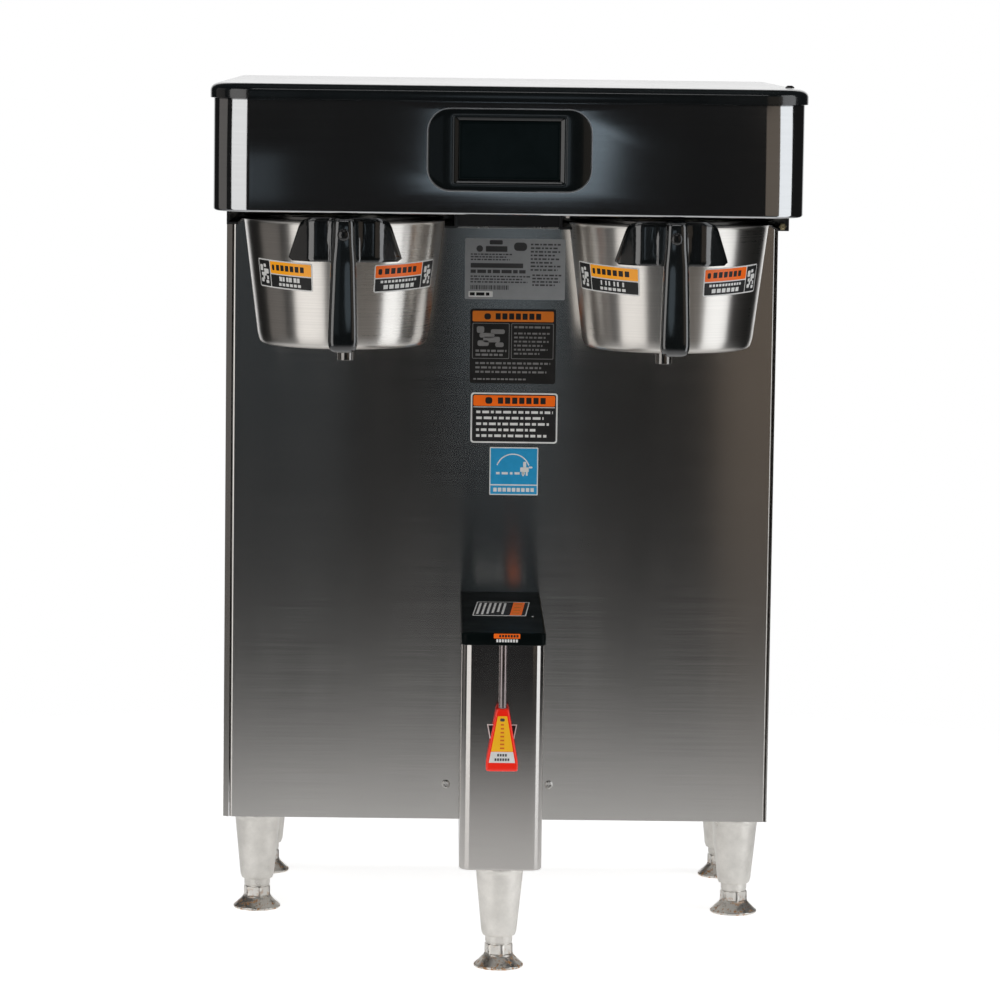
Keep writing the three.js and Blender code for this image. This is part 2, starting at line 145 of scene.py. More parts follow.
def steel(name, col, rough, aniso=0.9, grain=(9, 9, 1500), var=0.10, smudge=0.05, bump_mm=0.012, spots=0.0, painted_shade_above=None):
    m, nt, b = new_mat(name)
    g = noise(nt, coords(nt, grain), 1.0, 4.0, 0.6)
    big = noise(nt, coords(nt, (1, 1, 1)), 5.0, 3.0, 0.55)
    wipe = noise(nt, coords(nt, (14, 14, 3), rot=(0, 0.5, 0)), 1.0, 4.0, 0.6, 0.4)
    c = mixc(nt, ramp(nt, g, 0.3, 0.7), scaled(col, 1 - var), scaled(col, 1 + var))
    c = mixc(nt, ramp(nt, big, 0.35, 0.7, 0.0, 0.55), c, scaled(col, 0.9))
    if spots:
        sp = noise(nt, coords(nt, (1, 1, 1)), 260.0, 2.0, 0.7)
        c = mixc(nt, ramp(nt, sp, 0.68, 0.76, 0.0, spots), c, scaled(col, 0.55))
    # painted shade: above this height the colour drops to 0.12 of the base, darkening the funnel rim and collar that
    # sit under the hood lip
    if painted_shade_above:
        c = mixc(nt, ramp(nt, axis_of(nt, 2), painted_shade_above - 0.0004, painted_shade_above + 0.0004), c, scaled(col, 0.12))
    nt.links.new(c, b.inputs["Base Color"])
    b.inputs["Metallic"].default_value = 1.0
    b.inputs["Anisotropic"].default_value = aniso
    b.inputs["Anisotropic Rotation"].default_value = 0.25
    t = nt.nodes.new("ShaderNodeTangent")
    t.direction_type = "RADIAL"
    t.axis = "Z"
    nt.links.new(t.outputs[0], b.inputs["Tangent"])
    r = op(nt, "ADD", ramp(nt, g, 0.25, 0.75, rough - 0.02, rough + 0.02), ramp(nt, wipe, 0.35, 0.75, -smudge * 0.4, smudge))
    nt.links.new(r, b.inputs["Roughness"])
    if bump_mm:
        bump(nt, b, g, 0.35, bump_mm / 1000.0)
    return m


def plastic(name, col, rough, coat=0.0, coat_rough=0.08, coat_ior=1.5, painted_glow=0.0, grain=900.0, bump_mm=0.01, spec=0.5, dust=0.0, dust_col=(0.35, 0.35, 0.34), var=0.25, scratch=0.0):
    m, nt, b = new_mat(name)
    v = coords(nt)
    fine = noise(nt, v, grain, 2.0, 0.5)
    big = noise(nt, v, 22.0, 4.0, 0.6)
    c = mixc(nt, ramp(nt, big, 0.3, 0.75), scaled(col, 1 - var * 0.5), scaled(col, 1 + var))
    if dust:
        d = noise(nt, v, 420.0, 3.0, 0.75)
        c = mixc(nt, ramp(nt, d, 0.66, 0.78, 0.0, dust), c, dust_col)
    rr = ramp(nt, big, 0.3, 0.75, rough * 0.85, rough * 1.2)
    if scratch:
        s = noise(nt, coords(nt, (60, 900, 60), rot=(0.3, 0.2, 0.7)), 1.0, 2.0, 0.5)
        rr = op(nt, "ADD", rr, ramp(nt, s, 0.66, 0.74, 0.0, scratch))
    nt.links.new(c, b.inputs["Base Color"])
    nt.links.new(rr, b.inputs["Roughness"])
    b.inputs["Specular IOR Level"].default_value = spec
    b.inputs["Coat Weight"].default_value = coat
    b.inputs["Coat Roughness"].default_value = coat_rough
    b.inputs["Coat IOR"].default_value = coat_ior
    # painted light: emission makes the part glow though it is no lamp
    if painted_glow:
        b.inputs["Emission Color"].default_value = (*col, 1.0)
        b.inputs["Emission Strength"].default_value = painted_glow
    if bump_mm:
        bump(nt, b, fine, 0.4, bump_mm / 1000.0)
    return m


def metal(name, col, rough, var=0.12, grain=60.0, bump_mm=0.02):
    m, nt, b = new_mat(name)
    v = coords(nt)
    big = noise(nt, v, grain, 4.0, 0.6)
    fine = noise(nt, v, grain * 18, 2.0, 0.5)
    nt.links.new(mixc(nt, ramp(nt, big, 0.3, 0.72), scaled(col, 1 - var), scaled(col, 1 + var)), b.inputs["Base Color"])
    b.inputs["Metallic"].default_value = 1.0
    nt.links.new(ramp(nt, big, 0.3, 0.72, rough * 0.8, rough * 1.25), b.inputs["Roughness"])
    if bump_mm:
        bump(nt, b, fine, 0.4, bump_mm / 1000.0)
    return m


def printed(name, col, rough=0.35, var=0.08, coat=0.0, metallic=0.0, painted_glow=0.0):
    """Ink or film on a label plate, slightly mottled and rubbed."""
    m, nt, b = new_mat(name)
    v = coords(nt)
    n1 = noise(nt, v, 90.0, 4.0, 0.6)
    n2 = noise(nt, v, 1100.0, 2.0, 0.6)
    c = mixc(nt, ramp(nt, n1, 0.3, 0.75), scaled(col, 1 - var), scaled(col, 1 + var * 0.6))
    c = mixc(nt, ramp(nt, n2, 0.66, 0.8, 0.0, 0.25), c, scaled(col, 0.7))
    nt.links.new(c, b.inputs["Base Color"])
    nt.links.new(ramp(nt, n1, 0.3, 0.75, rough * 0.85, rough * 1.2), b.inputs["Roughness"])
    b.inputs["Metallic"].default_value = metallic
    b.inputs["Coat Weight"].default_value = coat
    # painted light: emission makes the ink glow though it is no lamp
    if painted_glow:
        b.inputs["Emission Color"].default_value = (*col, 1.0)
        b.inputs["Emission Strength"].default_value = painted_glow
    b.inputs["Coat Roughness"].default_value = 0.12
    bump(nt, b, n2, 0.25, 0.00001)
    return m


def nickel(name):
    """Plated feet: pale satin metal, tarnished in patches, rusty near the floor flare."""
    m, nt, b = new_mat(name)
    v = coords(nt)
    big = noise(nt, v, 45.0, 4.0, 0.6)
    fine = noise(nt, v, 900.0, 2.0, 0.6)
    c = mixc(nt, ramp(nt, big, 0.3, 0.7), (0.66, 0.64, 0.60), (0.86, 0.835, 0.79))
    z = axis_of(nt, 2)
    low = ramp(nt, z, 0.006, 0.026, 1.0, 0.0)
    rn = noise(nt, v, 210.0, 4.0, 0.7)
    rust = op(nt, "MULTIPLY", ramp(nt, rn, 0.53, 0.62), low)
    dark = op(nt, "MULTIPLY", ramp(nt, noise(nt, coords(nt, loc=(3, 1, 2)), 130.0, 4.0, 0.7), 0.55, 0.66, 0.0, 0.75), low)
    c = mixc(nt, dark, c, (0.16, 0.13, 0.10))
    c = mixc(nt, rust, c, (0.50, 0.24, 0.07))
    nt.links.new(c, b.inputs["Base Color"])
    nt.links.new(ramp(nt, rust, 0.0, 0.8, 0.92, 0.15), b.inputs["Metallic"])
    nt.links.new(op(nt, "ADD", ramp(nt, big, 0.3, 0.7, 0.27, 0.36), op(nt, "MULTIPLY", rust, 0.3)), b.inputs["Roughness"])
    bump(nt, b, op(nt, "ADD", fine, op(nt, "MULTIPLY", rust, 1.5)), 0.5, 0.00004)
    return m


def board(name):
    m, nt, b = new_mat(name)
    v = coords(nt, (1, 1, 1))
    vor = nt.nodes.new("ShaderNodeTexVoronoi")
    vor.distance = "MANHATTAN"
    vor.inputs["Scale"].default_value = 90.0
    nt.links.new(v, vor.inputs["Vector"])
    nt.links.new(mixc(nt, ramp(nt, vor.outputs["Distance"], 0.28, 0.34), (0.02, 0.12, 0.05), (0.10, 0.32, 0.14)), b.inputs["Base Color"])
    nt.links.new(ramp(nt, noise(nt, v, 60.0), 0.3, 0.7, 0.3, 0.5), b.inputs["Roughness"])
    return m


def screen_glass(name):
    """Black glass over an unlit panel: deep blue-black with faint finger smears in its gloss."""
    m, nt, b = new_mat(name)
    v = coords(nt)
    n1 = noise(nt, v, 30.0, 4.0, 0.6, 0.6)
    nt.links.new(mixc(nt, ramp(nt, n1, 0.3, 0.8), (0.003, 0.006, 0.006), (0.006, 0.010, 0.011)), b.inputs["Base Color"])
    nt.links.new(ramp(nt, n1, 0.45, 0.8, 0.03, 0.12), b.inputs["Roughness"])
    b.inputs["IOR"].default_value = 1.40
    b.inputs["Specular IOR Level"].default_value = 0.08
    return m


CAP_IOR = 1.16
M = {
    "hood": steel("hood_brushed_steel", (0.54, 0.55, 0.56), 0.105, 0.80, grain=(6, 6, 1900), var=0.05, smudge=0.02, bump_mm=0.0),
    "cabinet": steel("cabinet_brushed_steel", (0.57, 0.555, 0.535), 0.16, 0.93, grain=(7, 7, 1800), var=0.08, smudge=0.012, bump_mm=0.0, spots=0.08),
    "column": steel("column_brushed_steel", (0.55, 0.53, 0.51), 0.115, 0.91, grain=(7, 7, 1800), var=0.08, smudge=0.012, bump_mm=0.0, spots=0.06),
    # the funnel's rim and collar above z 760.3 mm get painted shade
    "funnel": steel("spun_funnel_steel", (0.70, 0.675, 0.64), 0.29, 0.86, grain=(3, 3, 1900), var=0.10, smudge=0.04, bump_mm=0.004, spots=0.12, painted_shade_above=0.7603),
    "basket": metal("basket_steel", (0.66, 0.65, 0.63), 0.30),
    "inner": metal("inner_steel", (0.62, 0.61, 0.60), 0.36, var=0.15, grain=35.0),
    "screw": metal("screw_steel", (0.62, 0.61, 0.59), 0.26),
    "chrome": metal("bright_chrome", (0.62, 0.61, 0.61), 0.08, var=0.05, grain=40.0, bump_mm=0.0),
    # painted reflection: the rod's steel colour is darkened and tinted red to stand for the dark, reddish surroundings
    # it reflects
    "rod": metal("lever_rod_painted_reflection_steel", (0.30, 0.26, 0.26), 0.22, var=0.08, grain=40.0, bump_mm=0.0),
    "nub": metal("outlet_steel", (0.26, 0.25, 0.24), 0.16, var=0.10, grain=60.0, bump_mm=0.0),
    # grey ring colour that paints the display surround's thin bright edge highlight
    "edge_highlight": plastic("display_edge_highlight_grey", (0.42, 0.43, 0.45), 0.3, grain=700.0, bump_mm=0.003),
    "brass": metal("valve_brass", (0.72, 0.52, 0.26), 0.30, var=0.18),
    "nut": metal("nut_zinc_yellow", (0.70, 0.60, 0.36), 0.32, var=0.2, grain=160.0),
    "nickel": nickel("leg_nickel"),
    "lid": plastic("lid_black_plastic", (0.006, 0.008, 0.009), 0.20, coat=0.7, coat_rough=0.09, coat_ior=1.6, grain=700.0, bump_mm=0.004, dust=0.04, scratch=0.08),
    "cap": plastic("cap_black_plastic", (0.003, 0.0052, 0.0052), 0.33, coat=0.0, coat_rough=0.14, grain=1000.0, bump_mm=0.006, dust=0.02, scratch=0.05, spec=0.30),
    "handle": plastic("handle_black_plastic", (0.005, 0.007, 0.0078), 0.20, coat=1.0, coat_rough=0.07, coat_ior=1.9, grain=600.0, bump_mm=0.003, dust=0.03, scratch=0.06),
    "gloss": plastic("bezel_black_gloss", (0.005, 0.007, 0.0075), 0.14, coat=0.7, coat_rough=0.05, coat_ior=1.5, grain=500.0, bump_mm=0.002, dust=0.02),
    "rail": plastic("rail_black", (0.012, 0.012, 0.013), 0.36, grain=900.0, bump_mm=0.015, dust=0.12, dust_col=(0.25, 0.21, 0.16)),
    "spray": plastic("spray_head_plastic", (0.045, 0.045, 0.046), 0.42, grain=800.0),
    "gland": plastic("gland_plastic", (0.030, 0.030, 0.031), 0.45, grain=800.0),
    "rubber": plastic("seal_rubber", (0.035, 0.035, 0.035), 0.75, grain=500.0, spec=0.3),
    "screw_black": plastic("screw_black", (0.010, 0.010, 0.010), 0.14, coat=0.6, grain=900.0, bump_mm=0.003),
    # the red handle glows with painted light from its emission
    "red": plastic("lever_red_plastic", (0.90, 0.020, 0.006), 0.24, coat=0.4, coat_rough=0.1, painted_glow=0.22, grain=700.0, bump_mm=0.006, var=0.10),
    "glass": screen_glass("display_glass"),
    "board": board("control_board"),
    # label inks given an emission glow shine with painted light
    "ink_white": printed("label_white", (0.90, 0.90, 0.88), painted_glow=0.06),
    "ink_black": printed("label_black", (0.010, 0.010, 0.011), 0.55),
    "ink_amber": printed("label_amber", (1.0, 0.38, 0.008), painted_glow=0.30),
    "ink_orange": printed("label_orange", (0.95, 0.15, 0.006), painted_glow=0.22),
    "ink_yellow": printed("label_yellow", (0.98, 0.50, 0.014), painted_glow=0.20),
    "ink_blue": printed("label_blue", (0.03, 0.42, 0.80)),
    "ink_gray": printed("label_gray", (0.36, 0.37, 0.38), 0.45, metallic=0.2, painted_glow=0.10),
    "ink_grayline": printed("label_dark_line", (0.075, 0.075, 0.078), 0.5),
    "film_dark": printed("label_dark_film", (0.020, 0.019, 0.018), 0.35, coat=0.2),
    "ink_dim": printed("label_dim_line", (0.30, 0.295, 0.29), 0.5),
    "ink_brown": printed("label_burnt_orange", (0.66, 0.17, 0.015), 0.4, painted_glow=0.18),
}


M["cap"].node_tree.nodes["Principled BSDF"].inputs["IOR"].default_value = CAP_IOR


# ------------------------------------------------------------------ mesh tools
class Solid:
    """Gathers closed shells in design coordinates and builds one Blender mesh."""

    def __init__(self):
        self.v, self.f, self.m = [], [], []

    def add(self, verts, faces, m=0):
        o = len(self.v)
        self.v += [tuple(p) for p in verts]
        self.f += [tuple(o + i for i in f) for f in faces]
        self.m += [m] * len(faces)

    def rings(self, rings, loop=False, caps=(True, True), m=0):
        """Joins equal closed rings. loop joins the last to the first, caps close the ends."""
        n, k = len(rings[0]), len(rings)
        faces = []
        for i in range(k if loop else k - 1):
            a, c = i * n, ((i + 1) % k) * n
            for j in range(n):
                j2 = (j + 1) % n
                faces.append((a + j, a + j2, c + j2, c + j))
        if not loop:
            if caps[0]:
                faces.append(tuple(range(n)))
            if caps[1]:
                faces.append(tuple(reversed(range((k - 1) * n, k * n))))
        self.add([p for r in rings for p in r], faces, m)

    def box(self, x0, x1, y0, y1, z0, z1, m=0):
        self.rings([[(x0, y0, z), (x1, y0, z), (x1, y1, z), (x0, y1, z)] for z in (z0, z1)], m=m)

    def build(self, name, mats, body="root", replaces=(), sharp=32.0, bevel=None):
        me = bpy.data.meshes.new(name)
        bm = bmesh.new()
        vs = [bm.verts.new(P(*p)) for p in self.v]
        for f, mi in zip(self.f, self.m):
            try:
                face = bm.faces.new([vs[i] for i in f])
                face.material_index = mi
            except ValueError:
                pass
        bmesh.ops.remove_doubles(bm, verts=bm.verts, dist=1e-7)
        bmesh.ops.recalc_face_normals(bm, faces=bm.faces)
        for f in bm.faces:
            f.smooth = True
        lim = math.radians(sharp)
        for e in bm.edges:
            e.smooth = not (len(e.link_faces) == 2 and e.calc_face_angle(0.0) > lim)
        bm.to_mesh(me)
        bm.free()
        for mt in mats if isinstance(mats, (list, tuple)) else [mats]:
            me.materials.append(mt)
        o = bpy.data.objects.new(name, me)
        bpy.context.scene.collection.objects.link(o)
        if bevel:
            md = o.modifiers.new("edge", "BEVEL")
            md.width = bevel[0] / 1000.0
            md.segments = bevel[1]
            md.limit_method = "ANGLE"
            md.angle_limit = math.radians(40)
            md.harden_normals = False
        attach(o, body)
        if replaces:
            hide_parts(*([replaces] if isinstance(replaces, str) else replaces))
        return o


def arc(cx, cy, r, a0, a1, n):
    """Points on an arc with their outward normals, angles in degrees."""
    out = []
    for i in range(n + 1):
        a = math.radians(a0 + (a1 - a0) * i / n)
        out.append((cx + r * math.cos(a), cy + r * math.sin(a), math.cos(a), math.sin(a)))
    return out


def u_stations(hw, y0, yb, r, n=14, cuts=()):
    """Stations along a U, from back left round the front to back right: (x, y, nx, ny)."""
    st = [(-hw, yb, -1, 0)] + [(-hw, c, -1, 0) for c in sorted(cuts, reverse=True)]
    st += arc(-hw + r, y0 + r, r, 180, 270, n) + arc(hw - r, y0 + r, r, 270, 360, n)
    st += [(hw, c, 1, 0) for c in sorted(cuts)] + [(hw, yb, 1, 0)]
    return st


def rr_stations(x0, x1, y0, y1, rf, rr, n=12):
    """Closed stations round a rounded rectangle with front and rear corner radii."""
    return (arc(x0 + rf, y0 + rf, rf, 180, 270, n) + arc(x1 - rf, y0 + rf, rf, 270, 360, n)
            + arc(x1 - rr, y1 - rr, rr, 0, 90, n) + arc(x0 + rr, y1 - rr, rr, 90, 180, n))


def rrect(x0, x1, y0, y1, r, n=5):
    """Closed points of a rounded rectangle; r is one radius or four (front left, front right, back right, back left)."""
    rs = [r] * 4 if isinstance(r, (int, float)) else r
    cs = [(x0 + rs[0], y0 + rs[0], 180), (x1 - rs[1], y0 + rs[1], 270), (x1 - rs[2], y1 - rs[2], 0), (x0 + rs[3], y1 - rs[3], 90)]
    out = []
    for (cx, cy, a), rad in zip(cs, rs):
        out += [(p[0], p[1]) for p in arc(cx, cy, rad, a, a + 90, n)]
    return out


def lathe(s, prof, cx, cy, n=64, closed=True, m=0, horizontal=False, cz=0.0):
    """Turns a profile of (radius, height). Horizontal turns about a line along y, where height is y."""
    rings = []
    for r, h in prof:
        ring = []
        for i in range(n):
            a = 2 * math.pi * i / n
            if horizontal:
                ring.append((cx + r * math.cos(a), h, cz + r * math.sin(a)))
            else:
                ring.append((cx + r * math.cos(a), cy + r * math.sin(a), h))
        rings.append(ring)
    s.rings(rings, loop=closed, m=m)


def fillet(pts, k=5):
    """Rounds the listed corners of a profile: points are (r, z) or (r, z, radius)."""
    out = []
    n = len(pts)
    for i, p in enumerate(pts):
        if len(p) < 3 or p[2] <= 0:
            out.append((p[0], p[1]))
            continue
        a, c, b = Vector(pts[i - 1][:2]), Vector(p[:2]), Vector(pts[(i + 1) % n][:2])
        u, w = (a - c), (b - c)
        t = min(p[2], u.length * 0.49, w.length * 0.49)
        s, e = c + u.normalized() * t, c + w.normalized() * t
        for j in range(k + 1):
            q = j / k
            out.append(tuple((1 - q) ** 2 * s + 2 * q * (1 - q) * c + q * q * e))
    return out


# ------------------------------------------------------------------ labels
def flat_front(x0, z0, y):
    return lambda u, v, h: (x0 + u, y - h, z0 + v)


def flat_top(x0, y0, z, shear=0.0):
    return lambda u, v, h: (x0 + u + shear * v, y0 + v, z + h)


def on_cone(fx, fy, a_mid, z0, tilt=0.0):
    """Wraps a flat label round the funnel's cone: u runs round it from the label's middle, v up it."""

    def f(u, v, h):
        z = z0 + v * 0.992 + tilt * u
        r = 88.4 + (z - 641.0) / 120.0 * 15.0 + h + 0.12
        a = math.radians(-90 + a_mid) + u / (88.4 + (z0 + 14 - 641.0) / 120.0 * 15.0)
        return (fx + r * math.cos(a), fy + r * math.sin(a), z)

    return f


def patch(s, mp, u0, v0, u1, v1, r=0.0, h0=0.0, h1=0.15, m=0, du=4.0):
    """A thin plate with rounded corners, laid on the mapped surface."""
    r = min(r, (u1 - u0) / 2 - 1e-3, (v1 - v0) / 2 - 1e-3)
    cols = []
    if r > 0:
        for i in range(5):
            a = math.radians(90 * i / 4)
            cols.append((u0 + r - r * math.cos(a), r - r * math.sin(a)))
    else:
        cols.append((u0, 0.0))
    k = max(1, int((u1 - u0 - 2 * r) / du))
    for i in range(1, k):
        cols.append((u0 + r + (u1 - u0 - 2 * r) * i / k, 0.0))
    if r > 0:
        for i in range(5):
            a = math.radians(90 * i / 4)
            cols.append((u1 - r + r * math.sin(a), r - r * math.cos(a)))
    else:
        cols.append((u1, 0.0))
    rings = [[mp(u, v0 + e, h0), mp(u, v0 + e, h1), mp(u, v1 - e, h1), mp(u, v1 - e, h0)] for u, e in cols]
    s.rings(rings, m=m)


def quad(s, mp, pts, h0, h1, m=0):
    s.rings([[mp(u, v, h) for u, v in pts] for h in (h0, h1)], m=m)


def lines(s, mp, u0, v0, u1, v1, rows, m, fill=0.5, h0=0.16, h1=0.22, breaks=()):
    """Rows of short dashes of changing length that stand for printing, with no letters."""
    pitch = (v1 - v0) / rows
    for i in range(rows):
        vb = v1 - (i + 1) * pitch + pitch * (1 - fill) / 2
        end = u1 - (u1 - u0) * (0.0, 0.12, 0.05, 0.22, 0.08, 0.3)[i % 6]
        u, j = u0, 0
        while u < end - 0.4:
            w = (3.1, 5.2, 2.2, 4.3, 6.0, 2.7, 3.8)[(i * 3 + j) % 7] * max(0.35, pitch * fill / 2.0)
            e = min(u + w, end)
            patch(s, mp, u, vb, e, vb + pitch * fill, 0, h0, h1, m, du=3.0)
            u = e + 0.28 * pitch + 0.25
            j += 1


# ------------------------------------------------------------------ hood
def sec_hood_front():
    pts = [(0.0, 887.2), (0.35, 888.0), (1.65, 888.0), (2.0, 887.2), (2.0, 778.5)]
    pts += [(2.0 + 1.6 * (1 - math.cos(math.radians(a))), 776.6 - 1.6 * math.sin(math.radians(a))) for a in (20, 45, 70, 90)]
    pts += [(11.2, 775.0), (12.0, 774.6), (12.0, 773.4), (11.4, 773.0)]
    pts += [(2.9 - 2.9 * math.sin(math.radians(a)), 775.9 - 2.9 * math.cos(math.radians(a))) for a in (0, 15, 30, 45, 60, 75, 90)]
    return pts


def sec_hood_rear():
    n = len(sec_hood_front())
    pts = [(0.0, 887.2), (0.35, 888.0), (1.65, 888.0), (2.0, 887.2), (2.0, 778.5)]
    pts += [(2.0, 777.0 - i * 0.6) for i in range(4)]
    pts += [(2.0, 774.4), (2.0, 773.8), (1.9, 773.25), (1.6, 773.0)]
    pts += [(1.2, 773.0), (0.7, 773.0), (0.3, 773.1), (0.1, 773.4), (0.0, 773.9), (0.0, 774.6), (0.0, 775.6)]
    assert len(pts) == n
    return pts


s = Solid()
F, R = sec_hood_front(), sec_hood_rear()
rings = []
for x, y, nx, ny in u_stations(298.5, 0.0, 574.8, 42.0, 22, cuts=(274.4, 274.41)):
    sec = R if y > 274.405 else F
    rings.append([(x - i * nx, y - i * ny, z) for i, z in sec])
s.rings(rings)
hood = s.build("hood_wrap", M["hood"], "root", "hood_shell", sharp=40)
# window behind the display
cutter = Solid()
cutter.rings([[(x, yy, z) for x, z in rrect(-62.5, 62.5, 799.0, 877.0, 6.0)] for yy in (-4.0, 8.0)])
cut_o = cutter.build("hood_window_tool", M["hood"])
md = hood.modifiers.new("window", "BOOLEAN")
md.operation = "DIFFERENCE"
md.solver = "EXACT"
md.object = cut_o
bpy.context.view_layer.update()
dg = bpy.context.evaluated_depsgraph_get()
new_me = bpy.data.meshes.new_from_object(hood.evaluated_get(dg))
hood.modifiers.clear()
hood.data = new_me
bm = bmesh.new()
bm.from_mesh(new_me)
for e in bm.edges:
    e.smooth = not (len(e.link_faces) == 2 and e.calc_face_angle(0.0) > math.radians(30))
bm.to_mesh(new_me)
bm.free()
bpy.data.objects.remove(cut_o)

# lid: a deep-edged plastic cover with a soft roll along its top edge
s = Solid()
prof = [(6.0, 888.4), (3.3, 888.4), (3.3, 886.7), (3.0, 886.4), (0.6, 886.4), (0.15, 886.7), (0.0, 887.4), (0.0, 894.2), (0.12, 895.2), (0.45, 896.3),
        (0.9, 897.2), (1.6, 898.2), (2.6, 899.2), (3.9, 900.1), (5.6, 900.9), (7.6, 901.5), (9.8, 901.85), (12.0, 902.0)]
st = rr_stations(-302, 302, -3.5, 578.5, 45.5, 12.6, 18)
outer = [[(x - i * nx, y - i * ny, z) for x, y, nx, ny in st] for i, z in prof]
inner = [[(x - i * nx, y - i * ny, z) for x, y, nx, ny in st] for i, z in [(6.0, 888.4), (6.4, 896.5), (8.0, 898.6), (12.0, 899.0)]]
s.rings(outer, caps=(False, True))
s.rings(inner, caps=(False, True))
s.build("lid_cover", M["lid"], "root", "top_lid", sharp=40)


def screw_head(s, cx, cz, y_face, r, dome, recess, kind, depth=1.2, m=0, top=False, cy=0.0, shank=0.0):
    """Domed screw with a real recess. It faces -y, or up where top is set; y_face is where the head sits."""
    n = 36

    def put(rad_of, h):
        ring = []
        for i in range(n):
            a = 2 * math.pi * i / n
            rr = rad_of(a) if callable(rad_of) else rad_of
            x, w = rr * math.cos(a), rr * math.sin(a)
            ring.append((cx + x, cy + w, y_face + h) if top else (cx + x, y_face - h, cz + w))
        return ring

    def hexr(a, rr):
        k = (a % (math.pi / 3)) - math.pi / 6
        return rr * math.cos(math.pi / 6) / math.cos(k)

    def crossr(a, rr):
        k = abs(((a + math.pi / 4) % (math.pi / 2)) - math.pi / 4)
        return min(rr / max(math.cos(k), 0.2), max(0.30 * rr / max(math.sin(k), 1e-3), 0.36 * rr), rr)

    shape = hexr if kind == "hex" else crossr
    rings = []
    if shank:
        rings += [put(r * 0.45, -shank), put(r * 0.45, 0.0)]
    rings += [put(r * 0.97, 0.0), put(r, dome * 0.10)]
    for q in (0.2, 0.4, 0.6, 0.8):
        rr = r + (recess * 1.25 - r) * q
        rings.append(put(rr, dome * math.sqrt(max(0.0, 1 - (rr / r) ** 2)) * 0.9 + dome * 0.1))
    rings.append(put(recess * 1.25, dome * 0.99))
    rings.append(put(lambda a: shape(a, recess), dome * 0.97))
    rings.append(put(lambda a: shape(a, recess * 0.86), dome - depth))
    s.rings(rings, m=m)


s = Solid()
screw_head(s, 287.0, 0, 902.35, 4.8, 2.6, 2.0, "cross", 1.4, top=True, cy=96.0)
s.build("lid_screw_head", M["screw_black"], "root", "lid_screw")

# hood floor keeps its CAD shape

# ------------------------------------------------------------------ display
s = Solid()
zc = 838.0
spec = [  # half width, half height, radius, y
    (81.2, 40.2, 22.2, -0.3), (82.0, 41.0, 23.0, -0.9), (82.0, 41.0, 23.0, -2.3), (81.75, 40.75, 22.7, -3.0), (81.2, 40.2, 22.2, -3.55), (80.2, 39.2, 21.2, -3.8),
    (57.9, 35.6, 3.4, -3.8), (57.6, 35.3, 3.0, -3.65), (57.3, 35.0, 2.7, -3.0), (56.8, 34.6, 2.4, -3.0), (56.5, 34.3, 2.2, -3.65), (56.2, 34.0, 2.0, -3.8),
    (55.1, 33.1, 1.7, -3.8), (54.8, 32.8, 1.6, -3.72), (51.7, 30.1, 1.1, -2.45), (51.4, 29.9, 1.0, -2.3), (51.3, 29.8, 1.0, -2.0), (51.3, 29.8, 1.0, -0.3),
]
rings = [[(x, y, z + zc) for x, z in rrect(-a, a, -b, b, r, 10)] for a, b, r, y in spec]
s.rings(rings, loop=True)
s.build("display_surround", M["gloss"], "root", "display_bezel", sharp=20)
# grey ring round the display surround: a painted highlight standing in for the surround's thin bright edge line
s = Solid()
spec = [(82.9, 41.9, 23.9, -0.15), (82.9, 41.9, 23.9, -0.75), (82.7, 41.7, 23.7, -0.9), (82.3, 41.3, 23.3, -0.9), (82.15, 41.15, 23.15, -0.75), (82.15, 41.15, 23.15, -0.15)]
s.rings([[(x, y, z + zc) for x, z in rrect(-a, a, -b, b, r, 12)] for a, b, r, y in spec], loop=True)
s.build("display_edge_highlight_ring", M["edge_highlight"], "root")

s = Solid()
spec = [(51.0, 29.5, 0.9, 3.0), (51.0, 29.5, 0.9, -1.2), (50.6, 29.1, 0.8, -2.0), (49.9, 28.4, 0.7, -2.4), (48.6, 27.1, 0.7, -2.4), (48.2, 26.7, 0.7, -2.25), (47.9, 26.4, 0.7, -2.25)]
rings = [[(x, y, z + zc - 0.2) for x, z in rrect(-a, a, -b, b, r, 4)] for a, b, r, y in spec]
s.rings(rings)
s.box(-60, 60, 3.0, 14.0, 801.0, 875.0, m=1)
s.build("touch_glass", [M["glass"], M["rail"]], "root", "touchscreen", sharp=25)

# ------------------------------------------------------------------ cabinet
def bent_sheet(s, path, t, z0, z1, rad, n=6, m=0, zsteps=None):
    """A sheet bent along path corners, standing from z0 to z1. path runs along its outer face, the material lies to its right."""
    outer, inner = [], []
    k = len(path)
    for i, p in enumerate(path):
        p = Vector(p)
        if i in (0, k - 1):
            d = (Vector(path[1]) - p) if i == 0 else (p - Vector(path[k - 2]))
            d.normalize()
            nrm = Vector((d.y, -d.x))
            outer.append(tuple(p))
            inner.append(tuple(p + nrm * t))
            continue
        a, b = Vector(path[i - 1]), Vector(path[i + 1])
        da, db = (p - a).normalized(), (b - p).normalized()
        na, nb = Vector((da.y, -da.x)), Vector((db.y, -db.x))
        c = p - da * rad + na * rad
        for j in range(n + 1):
            q = j / n
            dirv = (na * (1 - q) + nb * q).normalized()
            outer.append(tuple(c - dirv * rad))
            inner.append(tuple(c - dirv * (rad - t)))
    loop = outer + inner[::-1]
    zs = zsteps or [z0, z0 + 0.5, z1 - 0.5, z1]
    s.rings([[(x, y, z) for x, y in loop] for z in zs], m=m)


s = Solid()
bent_sheet(s, [(-289.7, 290.0), (-289.7, 275.0), (289.7, 275.0), (289.7, 290.0)][::-1], 2.0, 108.0, 772.6, 3.2)
s.box(-287.0, 287.0, 275.2, 290.0, 772.9, 774.9)
front = s.build("front_sheet", M["cabinet"], "root", "front_panel", sharp=30)

